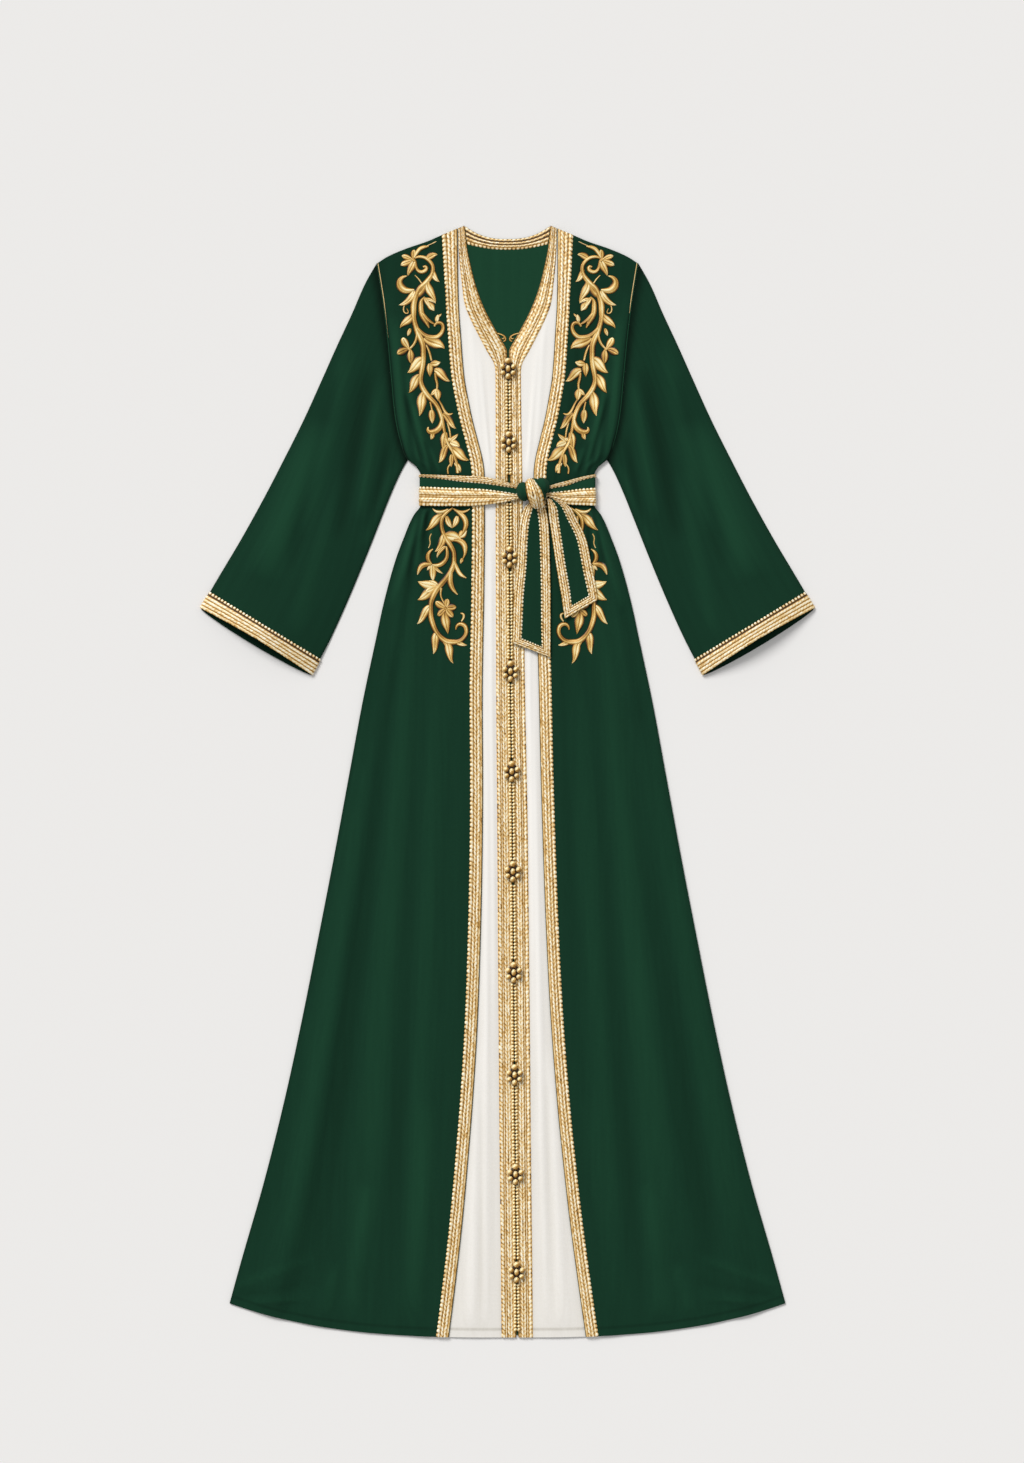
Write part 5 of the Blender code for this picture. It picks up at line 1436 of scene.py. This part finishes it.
def satin_strip(centre, halves, rows, panel, side, about, thick):
    """Rings, tones and run of one satin-stitched strip along a centre line of (out, down)."""
    heading = np.gradient(centre, axis=0)
    sideways = unit(np.stack([-heading[:, 1], heading[:, 0]], axis=-1))
    across, high, tone = (np.array(column) for column in zip(*rows))
    off = (2 * across - 1)[None, :] * halves[:, None]
    spots = centre[:, None] + sideways[:, None] * off[..., None]
    x, y = about + side * spots[..., 0], LENGTH / 2 - spots[..., 1]
    foot = height_on(panel, x, y)
    # Relief is full where a strip is broad and falls off with its width
    fat = np.minimum(1, halves / FULL_RELIEF_HALF)[:, None]
    top = np.stack([x, y, foot + STITCHES_UP + high * fat * thick], axis=-1)
    under = list(range(len(rows) - 1, -1, -2))
    low = top[:, under].copy()
    low[..., 2] = foot[:, under] - STITCHES_SUNK
    along = lengths_along(centre)
    # A painted gleam comes and goes along a strip, and a leaf takes painted shade where it leaves its stem
    if rows is LEAF_ROWS:
        gleam = GLEAM * np.sin(along / 4.1 + 2.1 * centre[0, 0]) - LEAF_ROOT_PAINTED_SHADE * np.exp(-along / 4)
    else:
        gleam = GLEAM * np.sin(along / 6.3 + centre[0, 0])
    # The strip's sides down to the cloth are painted dark, as shade
    tone = np.concatenate([tone + gleam[:, None], np.zeros((len(centre), len(under)))], axis=1)
    run = stacked(off, along[:, None], 0.0)
    return np.concatenate([top, low], axis=1), tone, np.concatenate([run, run[:, under]], axis=1)


def leaf_line(leaf, petal=False):
    """Centre line and half widths of a leaf: it sets off bent, may flick back and comes to a point.

    A petal widens towards a round tip instead.
    """
    root, tip = np.array((leaf.out, leaf.down), float), np.array((leaf.tip_out, leaf.tip_down), float)
    t = np.linspace(0, 1, LEAF_POINTS)
    chord = tip - root

    def turned(angle):
        """The chord, turned by this many degrees."""
        c, s = math.cos(math.radians(angle)), math.sin(math.radians(angle))
        return np.array((c * chord[0] - s * chord[1], s * chord[0] + c * chord[1]))

    weights = (2 * t**3 - 3 * t**2 + 1, t**3 - 2 * t**2 + t, 3 * t**2 - 2 * t**3, t**3 - t**2)
    ends = (root, turned(leaf.bend), tip, turned(-leaf.bend / 2 - leaf.flick))
    centre = sum(weight[:, None] * end for weight, end in zip(weights, ends))
    if petal:
        swell = np.sin(math.pi * t**1.2) ** 0.6
    else:
        swell = 1.12 * np.sin(math.pi * (0.1 + 0.9 * t) ** 0.85) ** 0.85
    return centre, leaf.wide / 2 * np.nan_to_num(swell) + LEAF_LEAST_HALF


def stem_line(route):
    """A smooth centre line through a stem's places, with its half widths."""
    route = np.array(route, float)
    lengths = lengths_along(route[:, :2])
    at = np.linspace(0, lengths[-1], max(8, int(lengths[-1] / STEM_STEP)))
    line = np.stack(
        [curve(table("at value", *zip(lengths, values)), "value", at) for values in route.T], axis=-1
    )
    for _ in range(STEM_SMOOTHINGS):
        line[1:-1] = (line[:-2] + 2 * line[1:-1] + line[2:]) / 4
    return line[:, :2], line[:, 2] / 2


def spray(name, side, stems, leaves, petals, top, finish, node, drift_share=0.5, outward_by=0.0):
    """Raised satin-stitch embroidery laid on a panel: its leaves, its petals, then its stems over them."""
    panel = BVHTree.FromPolygons([Vector(p) for p in top.reshape(-1, 3)], grid_faces(*top.shape[:2]).tolist())
    lines = [(*leaf_line(leaf), LEAF_ROWS, LEAF_THICK) for leaf in leaves]
    lines += [(*leaf_line(petal, True), LEAF_ROWS, PETAL_THICK) for petal in petals]
    lines += [(*stem_line(stem), STEM_ROWS, STEM_THICK) for stem in stems]
    chance = np.random.default_rng(31)
    parts, tones, runs = [], [], []
    for centre, halves, rows, thick in lines:
        about = drift_share * drift(centre[:, 1])[:, None] + side * outward_by
        ring, tone, run = satin_strip(centre, halves, rows, panel, side, about, thick)
        parts.append((ring, False))
        tones.append((tone + chance.normal(0, STRIP_FLECK)).ravel())
        runs.append(run.reshape(-1, 3))
    made = solid(name, *bundle(parts), finish, np.concatenate(tones), np.concatenate(runs))
    return wear(made, node)


def cord_line(name, line, radius, finish, tone=0.75):
    """A thin round cord through points in millimetres, such as piping or a seam's edge."""
    sideways = unit(np.cross(np.gradient(line, axis=0), (0, 0, 1)))
    angle = full_circle(8)[None, :, None]
    about = np.cos(angle) * sideways[:, None] + np.sin(angle) * np.array((0, 0, 1.0))
    ring = line[:, None] + radius * about
    return wear(solid(name, ring, tube_faces(ring), finish, tone), None)


def ball(centre, radii, twist, rings, around, bare, shaded):
    """A knotted thread ball: a globe with the crossing turns of its thread.

    Its tone is bare on the whole, with painted light towards the upper left and on its raised turns, and
    painted shade towards its foot.
    """
    polar = np.linspace(BALL_END, math.pi - BALL_END, rings)[:, None]
    angle = full_circle(around)[None, :]
    turns = np.cos(3 * angle + 4 * polar + twist) * np.cos(3 * angle - 4 * polar)
    globe = stacked(np.sin(polar) * np.cos(angle), np.sin(polar) * np.sin(angle), np.cos(polar))
    points = (1 + BALL_RELIEF * turns)[..., None] * globe * radii + np.array(centre)
    low = np.clip((centre[2] + 0.25 * radii[2] - points[..., 2]) / radii[2], 0, 1)
    upper_left = (points[..., 1] - centre[1] - points[..., 0] + centre[0]) / radii[1]
    lit = BALL_LIT * bare * np.clip(upper_left, -1, 1)
    return points, bare + lit + BALL_TURN_PAINTED_LIGHT * turns - shaded * low


def balls(name, places, finish, node, shaded=0.9, fine=(12, 18)):
    """One piece from many small thread balls, each given by its centre, its radii and its tone."""
    globes = [
        ball(centre, radii, number, *fine, bare, shaded)
        for number, (centre, radii, bare) in enumerate(places)
    ]
    made = solid(name, *bundle([(globe, False) for globe, _ in globes]), finish,
                 np.concatenate([tone.ravel() for _, tone in globes]))
    return wear(made, node)


def buttons(finish):
    """Ten clusters of knotted balls, each on its base of cord."""
    made = []
    for number, down in enumerate(BUTTON_DOWNS, 1):
        x, y = float(drift(down)), LENGTH / 2 - down
        foot = BUTTON_FOOT + float(raised(down))
        # The base is painted near black, as the shade between the balls
        places = [((x, y, foot), BUTTON_BASE, 0.0)] + [
            ((x + row.right, y + row.up, foot + BALL_CENTRE_UP * row.wide),
             (row.wide, row.long, row.wide), BALL_TONE)
            for row in BUTTON_BALLS
        ]
        made.append(balls(f"knot_button_{number:02}", places, finish, f"button_{number:02}"))
    return made


def placket_knots(finish):
    """Two rows of small knots down the placket, but for the buttons and the sash."""
    places = []
    for down in np.arange(PLACKET_KNOTS_FROM, LENGTH - PLACKET_KNOTS_END_UP, PLACKET_KNOT_STEP):
        by_button = any(abs(down - other) <= BUTTON_REACH for other in BUTTON_DOWNS)
        under_sash = SASH_TOP_DOWN + 2 < down < SASH_BOTTOM_DOWN - 4
        if not by_button and not under_sash:
            z = INNER_BRAID_FOOT + PLACKET_KNOT_UP + float(raised(down))
            for right in (-PLACKET_KNOT_OUT, PLACKET_KNOT_OUT):
                centre = (float(drift(down)) + right, LENGTH / 2 - down, z)
                places.append((centre, PLACKET_KNOT, PLACKET_KNOT_TONE))
    return balls("placket_knots", places, finish, None, 0.35, (6, 8))


def seams(side, name, finishes):
    """The green edge of the armhole seam, and the gold piping on it and on the shoulder."""
    downs = np.linspace(0, UNDERARM_DOWN, 70)
    seam = plan(side * (edge_at(SIDE, downs) - SEAM_INSIDE), downs, SEAM_Z)
    made = [cord_line(f"armhole_seam_{name}", seam, SEAM_RADIUS, finishes["green"])]
    armhole = seam[LENGTH / 2 - seam[:, 1] < ARMHOLE_PIPING_END[name]]
    armhole = armhole + (-side * ARMHOLE_PIPING_IN, 0, ARMHOLE_PIPING_UP)
    out = np.linspace(SHOULDER_PIPING_FROM, SHOULDER_PIPING_TO, 16)
    below = SHOULDER_PIPING_BELOW + SHOULDER_PIPING_SLOPE * (out - SHOULDER_PIPING_FROM)
    shoulder = at_down(side * out, curve(SHOULDER, "down", out) + below, SHOULDER_PIPING_Z)
    for kind, line, radius in (
        ("armhole", armhole, ARMHOLE_PIPING_RADIUS), ("shoulder", shoulder, SHOULDER_PIPING_RADIUS)
    ):
        made.append(
            cord_line(f"{kind}_piping_{name}", line, radius, finishes["braid"], PIPING_TONE)
        )
    return made


def grey_paper():
    """Uncoated background paper, rolled out seamless: the eye sees one pale, matt grey."""
    made = bpy.data.materials.new("grey_paper")
    made.use_nodes = True
    shader = made.node_tree.nodes["Principled BSDF"]
    shader.inputs["Base Color"].default_value = linear(FLOOR)
    shader.inputs["Roughness"].default_value = 0.95
    shader.inputs["Specular IOR Level"].default_value = 0.0
    return made


def stage():
    """A pale seamless floor, a wide soft light from the upper left and an even fill."""
    mesh = bpy.data.meshes.new("floor")
    corners = [
        (x * FLOOR_REACH, y * FLOOR_REACH, FLOOR_LEVEL) for x, y in ((-1, -1), (1, -1), (1, 1), (-1, 1))
    ]
    mesh.from_pydata(corners, [], [(0, 1, 2, 3)])
    floor = bpy.data.objects.new("floor", mesh)
    bpy.context.scene.collection.objects.link(floor)
    mesh.materials.append(grey_paper())
    world = bpy.data.worlds.new("studio")
    world.use_nodes = True
    sky = world.node_tree.nodes["Background"]
    sky.inputs["Color"].default_value = (1.0, 0.998, 0.995, 1.0)
    sky.inputs["Strength"].default_value = FILL_STRENGTH
    bpy.context.scene.world = world
    lamp = bpy.data.lights.new("softbox", "SUN")
    lamp.energy = SOFTBOX_STRENGTH
    lamp.angle = SOFTBOX_ANGLE
    lamp.color = (1.0, 0.99, 0.975)
    softbox = bpy.data.objects.new("softbox", lamp)
    softbox.rotation_euler = SOFTBOX_TURN
    bpy.context.scene.collection.objects.link(softbox)


def set_camera():
    """Straight above, as far back as a short tele lens needs for the photograph's frame."""
    lens = bpy.data.cameras.new("camera")
    lens.lens = CAMERA_LENS
    lens.sensor_width = CAMERA_SENSOR
    camera = bpy.data.objects.new("camera", lens)
    camera.location = CAMERA_PLACE
    bpy.context.scene.collection.objects.link(camera)
    bpy.context.scene.camera = camera


def main():
    finishes = make_finishes()
    back, back_top = back_panel(finishes["green"])
    back_trims = [neck_band(finishes["braid"])]
    placket = [*buttons(finishes["ball"]), placket_knots(finishes["ball"])]
    for side, name in ((-1, "left"), (1, "right")):
        inset = inset_panel(side, name, finishes["ivory"])
        front, top = front_panel(side, name, finishes["green"])
        outer, inner = front_braids(side, name, finishes["braid"])
        lower_place = LOWER_SPRAY_RIGHT if side > 0 else LOWER_SPRAY_LEFT
        front_trims = [
            outer,
            spray(f"satin_upper_{name}", side, UPPER_STEMS, UPPER_LEAVES, UPPER_PETALS, top,
                  finishes["satin"], f"spray_upper_{name}"),
            spray(f"satin_lower_{name}", side, LOWER_STEMS, LOWER_LEAVES, LOWER_PETALS, top,
                  finishes["satin"], f"spray_lower_{name}", *lower_place),
            *seams(side, name, finishes),
        ]
        cloth, cuff = sleeve(side, name, finishes)
        back_trims.append(
            spray(f"back_scroll_{name}", side, BACK_SCROLLS, (), (), back_top, finishes["satin"], None)
        )
    cloth = sash(finishes["green"])
    sash_braids = sash_edging(finishes["braid"])
    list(knot(finishes))
    for name, rows, flat, area in (
        ("long", LONG_TAIL, (0.051, 0.2), 0.0088), ("short", SHORT_TAIL, (0.047, 0.165), 0.0062)
    ):
        end, edging = tail(name, rows, finishes)
    stage()
    set_camera()
    bpy.context.scene.view_settings.view_transform = "Standard"


main()
